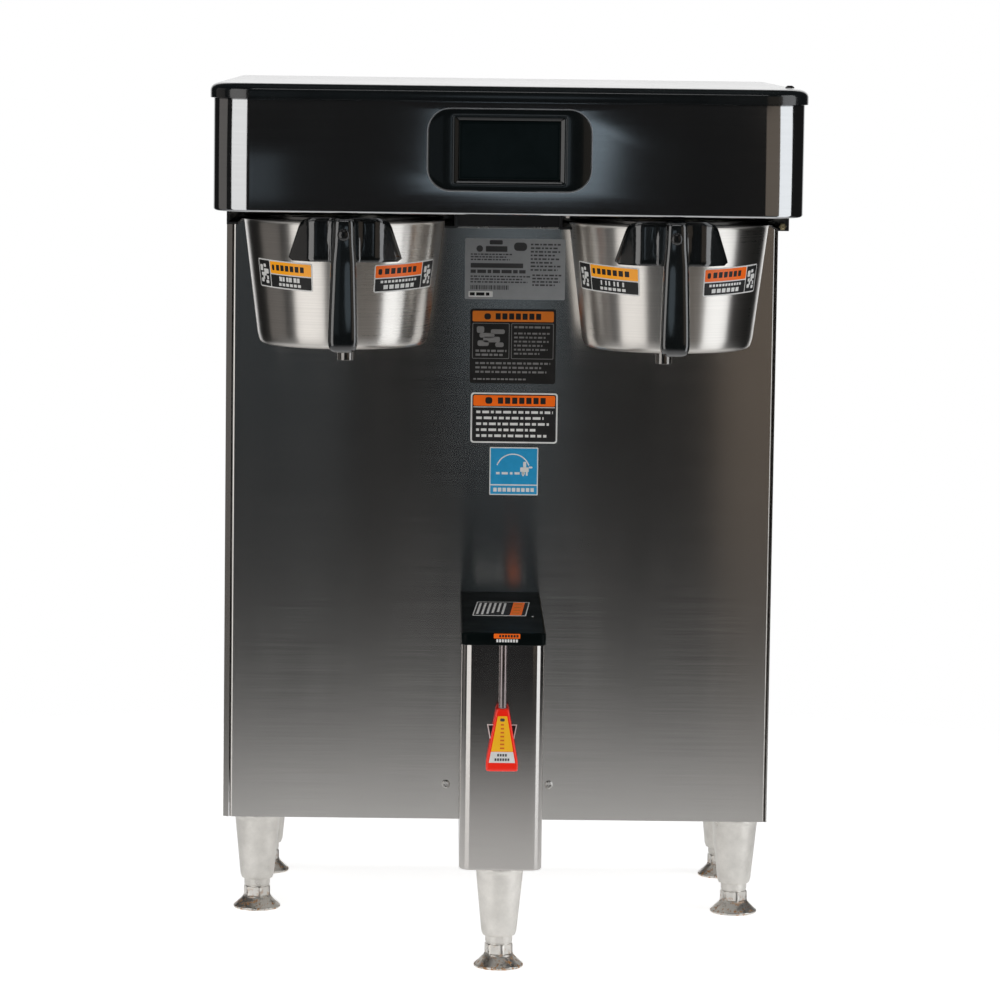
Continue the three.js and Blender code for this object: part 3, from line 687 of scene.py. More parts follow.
for tag, sg in (("left", -1), ("right", 1)):
    s = Solid()
    pts = [(sg * 290.2, 276.5), (sg * 294.0, 276.5), (sg * 294.0, 575.0)]
    if sg > 0:
        pts = pts[::-1]
    # material lies on the inner side
    pts2 = pts[::-1]
    bent_sheet(s, pts2, 2.0, 108.0, 880.0, 2.3)
    s.build(f"{tag}_side_sheet", M["cabinet"], "root", f"{tag}_side_panel", sharp=30)

# ------------------------------------------------------------------ column
def sec_col_front():
    t = 1.6
    pts = [(0.0, 342.3), (0.3, 342.8), (t - 0.3, 342.8), (t, 342.3), (t, 113.2)]
    pts += [(t + 1.2 * (1 - math.cos(math.radians(a))), 110.9 - 1.2 * math.sin(math.radians(a))) for a in (25, 50, 75, 90)]
    pts += [(2.35, 109.7), (2.35, 108.0)]
    pts += [(2.9 - 2.9 * math.sin(math.radians(a)), 110.9 - 2.9 * math.cos(math.radians(a))) for a in (10, 25, 40, 55, 70, 90)]
    return pts


s = Solid()
sec = [(0.0, 342.4), (0.35, 342.8), (1.65, 342.8), (2.0, 342.4), (2.0, 109.2), (2.2, 108.3), (1.9, 108.0), (1.2, 108.0), (0.7, 108.15), (0.35, 108.5), (0.1, 109.1), (0.0, 110.0)]
rings = [[(x - i * nx, y - i * ny, z) for i, z in sec] for x, y, nx, ny in u_stations(42.0, -13.0, 274.7, 13.0, 16)]
s.rings(rings)
s.build("column_wrap", M["column"], "root", "column_shell", sharp=40)

s = Solid()
st = rr_stations(-39.6, 39.6, -10.6, 274.4, 10.6, 0.4, 10)
s.rings([[(x - i * nx, y - i * ny, z) for x, y, nx, ny in st] for i, z in [(0.5, 108.0), (0.15, 108.2), (0.0, 108.6), (0.0, 110.3), (0.3, 110.5)]])
s.build("column_base", M["column"], "root", "column_base_plate", sharp=40)

# cap: thin tray with a soft top edge
s = Solid()
st = rr_stations(-42.7, 42.7, -41.0, 274.7, 7.0, 0.9, 12)
prof = [(2.2, 343.1), (0.7, 343.1), (0.2, 343.3), (0.0, 343.8), (0.0, 353.2), (0.15, 354.1), (0.55, 354.9), (1.2, 355.45), (2.1, 355.75), (3.2, 355.8)]
s.rings([[(x - i * nx, y - i * ny, z) for x, y, nx, ny in st] for i, z in prof], caps=(False, True))
s.rings([[(x - i * nx, y - i * ny, z) for x, y, nx, ny in st] for i, z in [(2.2, 343.1), (2.2, 351.8), (2.8, 353.0), (3.6, 353.3)]], caps=(False, True))
s.build("column_cap_tray", M["cap"], "root", "column_cap", sharp=40)

# hot water outlet and bracket
s = Solid()
lathe(s, fillet([(2.0, 345.0), (3.4, 345.0, 0.5), (3.4, 353.0), (2.0, 353.0)]), 0, -35.0, 32)
s.build("outlet_tube", M["cap"], "root", "hot_water_nozzle")
s = Solid()
s.rings([[(x, y, z) for y, z in rrect(-30.5, -20.5, 343.8, 353.0, 1.4, 3)] for x in (-8.5, -8.2, -6.3, -6.0)])
s.rings([[(x, y, z) for y, z in rrect(-30.5, -20.5, 343.8, 353.0, 1.4, 3)] for x in (6.0, 6.3, 8.2, 8.5)])
s.box(-8.4, 8.4, -30.4, -20.6, 351.4, 353.0)
s.build("lever_fork", M["inner"], "root", "lever_bracket")

# ------------------------------------------------------------------ lever
LY = -26.5


def bar_x(s, r, x0, x1, y, z, n=24, m=0, ch=0.4):
    rings = []
    for x, rr in ((x0, r - ch), (x0 + ch, r), (x1 - ch, r), (x1, r - ch)):
        rings.append([(x, y + rr * math.cos(2 * math.pi * i / n), z + rr * math.sin(2 * math.pi * i / n)) for i in range(n)])
    s.rings(rings, m=m)


s = Solid()
bar_x(s, 2.0, -10, 10, LY, 346.8)
s.build("lever_axle", M["chrome"], "root", "lever_pin")
s = Solid()
lathe(s, fillet([(0.02, 262.0), (2.5, 262.0, 0.4), (2.5, 277.3), (3.95, 277.3, 0.5), (3.95, 350.3, 1.2), (0.02, 350.3)], 4), 0, LY, 40, closed=False)
s.build("lever_rod", M["rod"], "hot_water_lever", "lever_arm")


def hw_paddle(z):
    if z < 221:
        return 16.0 + 0.4 * (z - 213) / 8.0
    if z < 274:
        return 16.4 + (6.9 - 16.4) * (z - 221) / 53.0
    return 6.9 - 0.9 * (z - 274) / 3.0


s = Solid()
rings = []
zs = [213.0, 213.25, 213.9, 214.8, 216.2, 219.0, 223.0, 230.0, 240.0, 250.0, 260.0, 268.0, 273.0, 275.2, 276.3, 276.8, 277.0]
for z in zs:
    e = min(z - 213.0, 277.0 - z)
    k = 0.0 if e > 1.8 else 1.8 - math.sqrt(max(0.0, 1.8 ** 2 - (1.8 - e) ** 2))
    w = hw_paddle(z) - k
    rings.append([(x, y, z) for x, y in rrect(-w, w, -30.6 + k, -22.0 - k, [2.3, 2.3, 2.3, 2.3], 6)])
s.rings(rings)
# outline of a raised rim round the front face, not built; the insert sits on the flat face
rim = [(-15.0, 215.4), (15.0, 215.4), (15.1, 220.5), (5.9, 274.0), (-5.9, 274.0), (-15.1, 220.5)]
s.build("lever_handle", M["red"], "hot_water_lever", "lever_paddle", sharp=45)
s = Solid()
mp = flat_front(0.0, 0.0, -30.6)


def trap(z0, z1, inset):
    a, b = hw_paddle(z0) - inset, hw_paddle(z1) - inset
    return [(-a, z0), (a, z0), (b, z1), (-b, z1)]


quad(s, mp, trap(222.0, 233.2, 3.0), -0.05, 0.25, 0)
quad(s, mp, trap(233.6, 269.6, 3.0), -0.05, 0.25, 1)
for i, z in enumerate((228.6, 224.0)):
    for j in range(4 + i * 2):
        w = (4 + i * 2) * 2.6
        patch(s, mp, -w / 2 + j * 2.6 + 0.35, z, -w / 2 + j * 2.6 + 2.2, z + 2.6, 0, 0.25, 0.32, 2)
for j in range(7):
    z = 236.0 + j * 4.0
    patch(s, mp, -1.5 - 0.12 * (7 - j), z, 1.5 + 0.12 * (7 - j), z + 1.9, 0.3, 0.25, 0.32, 3)
patch(s, mp, -2.3, 264.3, 2.3, 267.4, 1.0, 0.25, 0.32, 2)
s.build("lever_insert", [M["ink_white"], M["ink_yellow"], M["ink_grayline"], M["ink_brown"]], "hot_water_lever")

# ------------------------------------------------------------------ legs and feet
LEGS = {"front_left": (-260.8, 321), "front_right": (260.6, 321), "rear_left": (-259, 529), "rear_right": (259, 529), "column": (0, 32)}
for tag, (lx, ly) in LEGS.items():
    s = Solid()
    prof = fillet([(14.4, 33.0, 0.3), (16.6, 33.0, 0.8), (18.2, 37.2, 1.6), (24.2, 99.5, 2.0), (25.0, 102.0, 1.2), (25.0, 107.7, 0.6), (10.0, 107.7), (10.0, 86.0), (14.4, 84.0)], 5)
    lathe(s, prof, lx, ly, 72)
    s.build(f"leg_sleeve_{tag}", M["nickel"], "root", f"leg_{tag}", sharp=35)
    s = Solid()
    n = 72

    def circ(r, z):
        return [(lx + r * math.cos(2 * math.pi * i / n), ly + r * math.sin(2 * math.pi * i / n), z) for i in range(n)]

    def flats(r, z, across):
        out = []
        for i in range(n):
            a = 2 * math.pi * i / n + 0.26
            k = (a % (math.pi / 3)) - math.pi / 6
            q = min(r, across / math.cos(k))
            out.append((lx + q * math.cos(a - 0.26), ly + q * math.sin(a - 0.26), z))
        return out

    rings = [circ(0.5, 0.0), circ(24.6, 0.0), circ(25.25, 0.5), circ(25.5, 1.3), circ(25.5, 2.3), circ(25.1, 3.0), circ(24.4, 3.5), circ(23.2, 4.6), circ(21.4, 6.3),
             circ(19.4, 8.2), circ(17.4, 10.2), circ(15.8, 11.9), circ(15.2, 12.8), circ(15.1, 13.4), flats(14.9, 14.2, 13.1), flats(14.9, 23.4, 13.1), circ(14.0, 24.2),
             circ(13.6, 24.4), circ(13.4, 25.2), circ(13.6, 26.0), circ(14.0, 26.4), circ(14.0, 71.0), circ(13.3, 72.0), circ(0.5, 72.0)]
    s.rings(rings)
    s.build(f"foot_screw_{tag}", M["nickel"], f"levelling_foot_{tag}", f"foot_{tag}", sharp=32)

# ------------------------------------------------------------------ funnels
FY = 150.0
GRIP = [  # z, half width, front y, back y
    (634.0, 6.8, 9.6, 13.6), (634.5, 9.0, 7.6, 15.2), (635.6, 11.2, 6.1, 16.4), (637.4, 12.9, 5.0, 17.4), (640.5, 14.1, 3.9, 18.2), (645.0, 14.6, 3.0, 18.5),
    (655.0, 14.45, 3.05, 18.6), (670.0, 14.1, 3.3, 18.7), (690.0, 13.5, 3.8, 18.85), (705.0, 13.0, 4.2, 18.95), (716.0, 12.7, 4.5, 19.2), (722.0, 12.55, 4.7, 20.6),
    (727.0, 12.2, 4.95, 23.4), (732.0, 11.8, 5.3, 34.2), (740.0, 11.2, 5.9, 34.2), (750.0, 10.75, 6.0, 34.2), (759.0, 10.5, 6.0, 34.2), (763.0, 10.35, 6.15, 34.2),
    (765.6, 10.1, 6.9, 34.2), (767.1, 9.6, 8.2, 33.6), (768.0, 8.6, 9.8, 32.4),
]


def guard_xy(x, extra=0.0):
    """Front face of the bent splash guard at x from its middle: y and the surface normal's angle."""
    a = abs(x)
    bend0, rad, ang = 28.5, 15.0, math.radians(45)
    end = bend0 + rad * math.sin(ang)
    if a <= bend0:
        return 35.0, 0.0
    if a <= end:
        t = math.asin((a - bend0) / rad)
        return 35.0 + rad * (1 - math.cos(t)), t
    return 35.0 + rad * (1 - math.cos(ang)) + (a - end) * math.tan(ang), ang


for tag, fx in (("left", -168.5), ("right", 168.5)):
    body = f"funnel_{tag}"
    gx = fx + (2.9 if tag == "left" else 1.1)    # the grip's and the guard's middles
    hx = fx + (3.5 if tag == "left" else -1.5)
    ox = fx + (3.0 if tag == "left" else -3.2)
    # bowl
    s = Solid()
    prof = fillet([
        (6.3, 630.7, 0.4), (79.5, 630.7, 3.0), (86.0, 633.2, 5.0), (88.6, 641.5, 5.0), (103.2, 758.6, 1.6), (104.6, 761.0, 1.0), (109.2, 761.0, 0.9),
        (110.0, 762.0, 0.6), (109.4, 763.0, 0.5), (103.3, 763.0, 0.5), (103.3, 766.0, 0.4), (101.5, 766.0, 0.4), (101.4, 759.0), (86.8, 641.8, 5.0), (84.8, 636.2, 5.0), (79.0, 633.8, 3.0), (6.3, 633.8, 1.5),
    ], 6)
    lathe(s, prof, fx, FY, 128)
    s.build(f"funnel_shell_{tag}", M["funnel"], body, f"funnel_bowl_{tag}", sharp=38)
    s2 = Solid()
    lathe(s2, fillet([(6.3, 614.0, 0.4), (8.6, 614.0, 0.6), (8.6, 632.2), (6.3, 632.2)], 4), ox, FY, 48)
    s2.build(f"outlet_nub_{tag}", M["nub"], body)
    # basket liner
    s = Solid()
    prof = fillet([(22.0, 634.4, 0.4), (73.0, 634.4, 2.0), (97.0, 755.0, 0.4), (99.0, 755.0, 0.4), (99.0, 757.0, 0.6), (95.4, 757.0, 0.6), (71.6, 636.2, 2.0), (22.0, 636.2, 0.4)], 4)
    lathe(s, prof, fx, FY, 96)
    s.build(f"basket_liner_{tag}", M["basket"], body, f"brew_basket_{tag}", sharp=38)
    # splash guard
    s = Solid()
    xs = [-57.5, -56.8, -55, -51, -47, -44, -41.5, -40, -38.6, -37.2, -35.8, -34.4, -33, -31.6, -30.2, -28.5, -26, -22, -18, -16.6, -16.0, -15.4, -14.8, -14.2, -13.4, -10, -5]
    xs = xs + [0] + [-x for x in reversed(xs)]

    def boss(x):
        a = abs(x)
        return 1.4 * (1 - min(1.0, max(0.0, (a - 14.2) / 2.0)) ** 2 * (3 - 2 * min(1.0, max(0.0, (a - 14.2) / 2.0))))

    rings = []
    for q in xs:
        u = q / 57.5  # share of the half width
        ring_f, ring_b = [], []
        for k in range(15):
            v = k / 14.0
            # half width at this height, with rounded corners
            zt = 722.0 + 45.0 * v
            hwz = 58.2 + (zt - 724.0) / 39.0 * (45.4 - 58.2) if zt > 724 else 58.2
            hwz = min(hwz, 58.2)
            if zt < 726.0:
                c = 726.0 - zt
                hwz = 57.7 - (4.0 - math.sqrt(max(0.0, 16.0 - c * c)))
            if zt > 757.5:
                c = (zt - 757.5)
                hwz -= 9.5 - math.sqrt(max(0.0, 9.5 ** 2 - c * c))
            x = u * hwz
            y, t = guard_xy(x)
            y -= boss(x)
            # soft edge all round
            ed = min(hwz - abs(x), zt - 722.0, 767.0 - zt)
            soft = 1.3 * (1 - min(1.0, max(0.0, ed) / 1.6)) ** 2
            ring_f.append((hx + x, y + soft, zt))
            th = 3.6 / math.cos(t)
            yb = guard_xy(x)[0] + th - soft
            if zt > 756.0:
                yb = min(yb, FY - math.sqrt(110.4 ** 2 - (x + hx - fx) ** 2) - 0.2)
            ring_b.append((hx + x, max(yb, y + soft + 0.6), zt))
        rings.append(ring_f + ring_b[::-1])
    s.rings(rings)
    s.box(hx - 12, hx + 12, 37.5, 46, 728, 757)
    s.build(f"splash_shield_{tag}", M["handle"], body, f"splash_guard_{tag}", sharp=40)
    # grip
    s = Solid()
    rings = []
    for z, w, f, b in GRIP:
        w *= 1.03
        z -= 2.0 * max(0.0, (700.0 - z) / 66.0)
        rf = min(6.6, w - 0.3, (b - f) * 0.49)
        rb = min(3.0, w - 0.3, (b - f) * 0.49)
        rings.append([(gx + x, y, z) for x, y in rrect(-w, w, f, b, [rf, rf, rb, rb], 7)])
    s.rings(rings)
    s.build(f"grip_body_{tag}", M["handle"], body, f"funnel_grip_{tag}", sharp=50)
    s = Solid()
    screw_head(s, gx, 751.0, 5.7, 6.3, 3.3, 1.5, "cross", 1.6)
    s.build(f"grip_bolt_{tag}", M["screw_black"], body, f"grip_screw_{tag}")
    # printed plates, one to each side of the grip
    for side, mid, ink in (("a", -39.5 if tag == "left" else -46.0, "ink_amber"), ("b", 45.3 if tag == "left" else 42.0, "ink_orange")):
        s = Solid()
        L = 85.0 if (tag, side) == ("left", "b") else (77.0 if side == "b" else (73.0 if tag == "left" else 86.0))
        H = 29.0
        mp = on_cone(fx, FY, mid, 691.5, tilt=(-0.045 if side == "a" else 0.045))
        half = L / 2
        patch(s, mp, -half, 0, half, H, 2.2, 0.0, 0.22, 0, du=2.5)
        third = L * 0.27
        if side == "a":
            pu0, pu1, bu0, bu1 = -half + 1.3, -half + third, -half + third + 1.2, half - 1.3
        else:
            pu0, pu1, bu0, bu1 = half - third, half - 1.3, -half + 1.3, half - third - 1.2
        patch(s, mp, bu0, 15.2, bu1, H - 1.3, 0.9, 0.2, 0.28, 1, du=2.5)
        patch(s, mp, bu0, 1.3, bu1, 14.0, 0.9, 0.2, 0.28, 2, du=2.5)
        patch(s, mp, pu0, 1.3, pu1, H - 1.3, 0.9, 0.2, 0.28, 2, du=2.5)
        # generic bars
        w = bu1 - bu0
        for k in range(6):
            u = bu0 + w * (0.17 + 0.118 * k)
            patch(s, mp, u, 18.6, u + w * 0.085, 24.6, 0.3, 0.28, 0.33, 3)
        patch(s, mp, bu0 + w * 0.05, 18.4, bu0 + w * 0.12, 24.4, 1.5, 0.28, 0.33, 3)
        if side == "a":
            for k in range(3):
                u = bu0 + w * (0.24 + 0.18 * k)
                patch(s, mp, u, 7.9, u + w * 0.14, 12.6, 0.3, 0.28, 0.33, 0)
            for k in range(6):
                u = bu0 + w * (0.22 + 0.095 * k)
                patch(s, mp, u, 3.0, u + w * 0.07, 6.0, 0.3, 0.28, 0.33, 0)
        else:
            for k in range(11):
                u = bu0 + w * (0.10 + 0.072 * k)
                patch(s, mp, u, 9.6, u + w * 0.05, 12.2, 0.2, 0.28, 0.33, 0)
            for k in range(6):
                u = bu0 + w * (0.16 + 0.115 * k)
                patch(s, mp, u, 3.2, u + w * 0.085, 7.4, 0.3, 0.28, 0.33, 0)
        cu = (pu0 + pu1) / 2
        for k, (du0, dv0, du1, dv1) in enumerate([(-7, 5, -2, 9), (-3.5, 8, 6.5, 12), (-6, 11.5, 3, 15), (-1, 14, 7, 19), (-7.5, 16.5, -2.5, 23), (1.5, 4, 6.5, 7.4), (-1.2, 20.5, 3.2, 24)]):
            patch(s, mp, cu + du0, dv0, cu + du1, dv1, 1.2, 0.28, 0.33, 0)
        s.build(f"funnel_plate_{tag}_{side}", [M["ink_white"], M[ink], M["ink_black"], M["ink_black"]], body)
    # rail end nut and screw on the outer rail, built on the right side only
    sg = -1 if tag == "left" else 1
    s = Solid()
    nx, nz, n = sg * 278.5, 763.0, 6
    for r0, r1, ya, yb in ((3.6, 3.6, 41.6, 45.0), (1.9, 1.9, 39.6, 41.7)):
        cnt = 6 if r0 > 3 else 24
        rings = []
        for y, r in ((ya, r0 - 0.4), (ya + 0.4, r0), (yb, r1)):
            rings.append([(nx + r * math.cos(2 * math.pi * i / cnt), y, nz + r * math.sin(2 * math.pi * i / cnt)) for i in range(cnt)])
        s.rings(rings)
    if tag == "right":
        s.build(f"rail_nut_{tag}", M["nut"], "root", sharp=25)

# bright hem along the lower edge of the plate between the rails
x0, x1, y0, y1, z0, z1 = hbox("rail_bridge")
s = Solid()
s.rings([[(x, y, z) for y, z in rrect(y0 - 0.7, y0 - 0.1, z0, z0 + 1.8, 0.28, 3)] for x in (x0 + 1.0, x0 + 1.3, x1 - 1.3, x1 - 1.0)])
s.build("rail_bridge_hem", M["screw"], "root", sharp=60)

# ------------------------------------------------------------------ panel screws
for tag, (px, pz) in {"left": (-56.0, 146.0), "right": (55.5, 146.5)}.items():
    s = Solid()
    screw_head(s, px, pz, 274.9, 4.6, 2.5, 2.3, "cross", 1.6, shank=7.0)
    s.build(f"panel_bolt_{tag}", M["screw"], "root", f"panel_screw_{tag}")

# ------------------------------------------------------------------ label plates on the front
LMATS = [M["ink_gray"], M["ink_grayline"], M["film_dark"], M["ink_dim"], M["ink_orange"], M["ink_white"], M["ink_black"], M["ink_blue"], M["ink_brown"]]
YF = 274.97
s = Solid()  # grey rating plate
mp = flat_front(-42.0, 671.0, YF)
patch(s, mp, 0, 0, 107, 65, 1.5, 0.0, 0.25, 0, du=30)
patch(s, mp, 12, 50.5, 19, 57.5, 3.4, 0.25, 0.3, 1)
patch(s, mp, 22, 50.8, 45, 56.8, 0.6, 0.25, 0.3, 1)
patch(s, mp, 52, 52, 66, 61, 4.0, 0.25, 0.3, 1)
patch(s, mp, 26, 58.6, 40, 63.2, 1.2, 0.25, 0.3, 1)
lines(s, mp, 6, 41.0, 50, 49.5, 3, 1, 0.5, 0.25, 0.3)
lines(s, mp, 70, 30.0, 103, 61.0, 8, 1, 0.45, 0.25, 0.3)
patch(s, mp, 6, 33.6, 62, 38.6, 0.4, 0.25, 0.3, 1)
lines(s, mp, 6, 27.4, 66, 32.2, 1, 1, 0.75, 0.25, 0.3)
lines(s, mp, 6, 17.0, 70, 26.0, 3, 1, 0.5, 0.25, 0.3)
lines(s, mp, 72, 14.0, 103, 28.0, 4, 1, 0.5, 0.25, 0.3)
u = 6.0
for k in range(26):
    w = (0.6, 1.1, 0.5, 0.9, 1.4)[k % 5]
    patch(s, mp, u, 10.4, u + w, 15.0, 0, 0.25, 0.3, 1)
    u += w + (0.7, 0.5, 0.9)[k % 3]
patch(s, mp, 4, 2.4, 30, 8.6, 0.6, 0.25, 0.28, 5)
lines(s, mp, 5.5, 3.2, 28, 8.0, 1, 6, 0.7, 0.28, 0.33)
s.build("rating_plate", LMATS, "root")

s = Solid()  # tall dark plate
mp = flat_front(-35.6, 581.0, YF)
patch(s, mp, 0, 0, 91.6, 80, 2.5, 0.0, 0.25, 2, du=30)
patch(s, mp, 2.4, 66.2, 89.2, 77.6, 1.4, 0.25, 0.3, 8)
for k in range(7):
    patch(s, mp, 27 + k * 7.2, 68.6, 32.4 + k * 7.2, 75.2, 0.5, 0.3, 0.35, 6)
patch(s, mp, 15, 68.4, 22, 75.0, 2.6, 0.3, 0.35, 6)
patch(s, mp, 2.4, 26.4, 42.0, 64.6, 1.2, 0.25, 0.28, 3)
patch(s, mp, 3.0, 27.0, 41.4, 64.0, 1.0, 0.28, 0.3, 2)
for du0, dv0, du1, dv1 in [(8, 40, 20, 46), (14, 44, 32, 50), (10, 49, 26, 54), (22, 53, 37, 58), (7, 54, 15, 61), (27, 39, 36, 44)]:
    patch(s, mp, du0, dv0, du1, dv1, 2.0, 0.3, 0.36, 3)
lines(s, mp, 6, 28.5, 39, 37.0, 2, 3, 0.55, 0.3, 0.36)
patch(s, mp, 44.0, 26.4, 89.2, 64.6, 1.2, 0.25, 0.28, 3)
patch(s, mp, 44.6, 27.0, 88.6, 64.0, 1.0, 0.28, 0.3, 2)
lines(s, mp, 47, 58.5, 86, 62.5, 1, 3, 0.55, 0.3, 0.36)
lines(s, mp, 47, 30.0, 86, 56.0, 6, 3, 0.42, 0.3, 0.36)
lines(s, mp, 6, 10.0, 86, 24.0, 3, 3, 0.45, 0.25, 0.32)
lines(s, mp, 4, 2.6, 60, 6.6, 1, 3, 0.45, 0.25, 0.32)
s.build("instruction_plate", LMATS, "root")

s = Solid()  # plate with a white border
mp = flat_front(-34.0, 517.0, YF)
patch(s, mp, 0, 0, 93, 54, 3.2, 0.0, 0.25, 5, du=30)
patch(s, mp, 1.6, 1.6, 91.4, 52.4, 2.2, 0.25, 0.28, 6, du=30)
patch(s, mp, 2.8, 39.8, 90.2, 51.2, 1.6, 0.28, 0.31, 4)
for k in range(7):
    patch(s, mp, 29 + k * 7.6, 42.2, 34.6 + k * 7.6, 49.0, 0.5, 0.31, 0.36, 6)
patch(s, mp, 15.5, 42.0, 23, 49.2, 2.6, 0.31, 0.36, 6)
patch(s, mp, 2.8, 38.2, 90.2, 39.0, 0, 0.28, 0.33, 5)
lines(s, mp, 6, 4.6, 88, 36.4, 5, 5, 0.44, 0.28, 0.34)
s.build("caution_free_plate", LMATS, "root")

s = Solid()  # blue square
mp = flat_front(-13.0, 461.0, YF)
patch(s, mp, 0, 0, 52, 51.5, 1.0, 0.0, 0.25, 5, du=30)
patch(s, mp, 1.1, 11.6, 50.9, 50.4, 0.4, 0.25, 0.29, 7, du=30)
patch(s, mp, 1.1, 1.1, 50.9, 10.2, 0.4, 0.25, 0.29, 7, du=30)
for k in range(9):
    patch(s, mp, 4.2 + k * 5.0, 3.6, 7.9 + k * 5.0, 7.8, 0.4, 0.29, 0.34, 5)
n = 30
for r0, r1 in ((17.5, 18.7),):
    pts = []
    for i in range(n):
        a0, a1 = math.radians(20 + 140 * i / n), math.radians(20 + 140 * (i + 1) / n)
        quad(s, mp, [(25 + r0 * math.cos(a0), 26 + r0 * math.sin(a0)), (25 + r1 * math.cos(a0), 26 + r1 * math.sin(a0)), (25 + r1 * math.cos(a1), 26 + r1 * math.sin(a1)), (25 + r0 * math.cos(a1), 26 + r0 * math.sin(a1))], 0.29, 0.34, 5)
lines(s, mp, 7, 20, 38, 27, 1, 5, 0.36, 0.29, 0.34)
for du0, dv0, du1, dv1 in [(33, 25, 42, 30), (36, 29.6, 39.2, 36), (35, 20.5, 37, 25.4), (39, 21, 41, 25.4), (42, 29, 46, 31)]:
    patch(s, mp, du0, dv0, du1, dv1, 0.8, 0.29, 0.34, 5)
s.build("blue_plate", LMATS, "root")

s = Solid()  # tag on the column face behind the lever
mp = flat_front(0.0, 0.0, -13.03)
quad(s, mp, [(-12.6, 244.0), (12.6, 244.0), (15.2, 258.5), (-15.2, 258.5)], 0.0, 0.2, 5)
quad(s, mp, [(-11.6, 245.0), (11.6, 245.0), (14.0, 257.5), (-14.0, 257.5)], 0.2, 0.25, 6)
s.build("column_tag", LMATS, "root")

s = Solid()  # cap top plate, a slanted rounded strip
mp = flat_top(-31.0, 86.0, 355.83, shear=0.055)
patch(s, mp, 0, 0, 55.5, 108, 2.6, 0.0, 0.2, 5, du=12)
patch(s, mp, 1.1, 3.2, 54.4, 104.8, 2.0, 0.2, 0.24, 6, du=12)
for k in range(6):
    u = 3.2 + k * 5.2
    patch(s, mp, u, (12, 8, 14, 20, 28, 12)[k], u + 2.4, 98, 0.5, 0.24, 0.3, 5)
patch(s, mp, 38.6, 4.4, 50.6, 103.6, 1.0, 0.24, 0.28, 4)
for k in range(4):
    patch(s, mp, 40.6, 14 + k * 22, 48.4, 26 + k * 22, 1.0, 0.28, 0.33, 8)
s.build("cap_top_plate", LMATS, "root")
s = Solid()
mp = flat_front(-8.0, 343.1, -41.02)
patch(s, mp, -2.0, 7.2, 24.6, 12.0, 0.8, 0.0, 0.15, 4)
for k in range(7):
    patch(s, mp, 3.4 + k * 2.9, 8.4, 5.4 + k * 2.9, 10.9, 0.2, 0.15, 0.2, 6)
for k in range(8):
    patch(s, mp, 0.6 + k * 2.8, 3.4, 2.6 + k * 2.8, 6.4, 0.3, 0.0, 0.12, 5)
s.build("cap_front_plate", LMATS, "root")
s = Solid()
lathe(s, fillet([(0.02, 355.7), (1.1, 355.7), (1.1, 356.0, 0.2), (0.02, 356.15)], 3), 31.5, 84.0, 20, closed=False)
s.build("cap_pip", M["ink_white"], "root")

# ------------------------------------------------------------------ CAD nodes that stay
KEEP = {
    "base_pan": "cabinet", "back_panel": "cabinet", "hood_floor": "hood", "water_tank": "inner", "tank_lid": "inner", "temperature_probe": "inner",
    "heating_element": "chrome", "hot_water_valve": "brass", "inlet_valve": "brass", "brew_valve_left": "brass", "brew_valve_right": "brass",
    "water_inlet_fitting": "brass", "cord_gland": "gland", "tank_seal": "rubber", "control_board": "board",
    "rail_outer_left": "rail", "rail_outer_right": "rail", "rail_inner_left": "rail", "rail_inner_right": "rail", "rail_bridge": "rail",
    "spray_head_left": "spray", "spray_head_right": "spray",
}
for n, mk in KEEP.items():
    o = NODES[n]
    if not o.material_slots:
        o.data.materials.append(M[mk])
    for sl in o.material_slots:
        sl.material = M[mk]
    md = o.modifiers.new("edge", "BEVEL")
    md.width = 0.0006 if n.startswith("rail") else 0.0004
    md.segments = 2
    md.limit_method = "ANGLE"
    md.angle_limit = math.radians(50)

# ------------------------------------------------------------------ stage: floor
m, nt, b = new_mat("floor_paper")
pos = coords(nt)
fl = noise(nt, pos, 3.0, 3.0, 0.5)
nt.links.new(mixc(nt, ramp(nt, fl, 0.3, 0.7), (0.86, 0.86, 0.86), (0.90, 0.90, 0.90)), b.inputs["Base Color"])
b.inputs["Roughness"].default_value = 0.9
b.inputs["Specular IOR Level"].default_value = 0.1
b.inputs["Emission Color"].default_value = (1, 1, 1, 1)
lp = nt.nodes.new("ShaderNodeLightPath")
nt.links.new(ramp(nt, lp.outputs["Is Camera Ray"], 0.0, 1.0, 0.44, 0.78), b.inputs["Emission Strength"])
ln = nt.nodes.new("ShaderNodeVectorMath")
ln.operation = "LENGTH"
nt.links.new(pos, ln.inputs[0])
nt.links.new(ramp(nt, ln.outputs["Value"], 0.38, 1.5, 1.0, 0.0), b.inputs["Alpha"])
me = bpy.data.meshes.new("floor")
bm = bmesh.new()
bmesh.ops.create_circle(bm, cap_ends=True, radius=3.3, segments=96)
bm.to_mesh(me)
bm.free()
me.materials.append(m)
floor = bpy.data.objects.new("floor", me)
bpy.context.scene.collection.objects.link(floor)
floor.location = (0, 0, -0.0004)

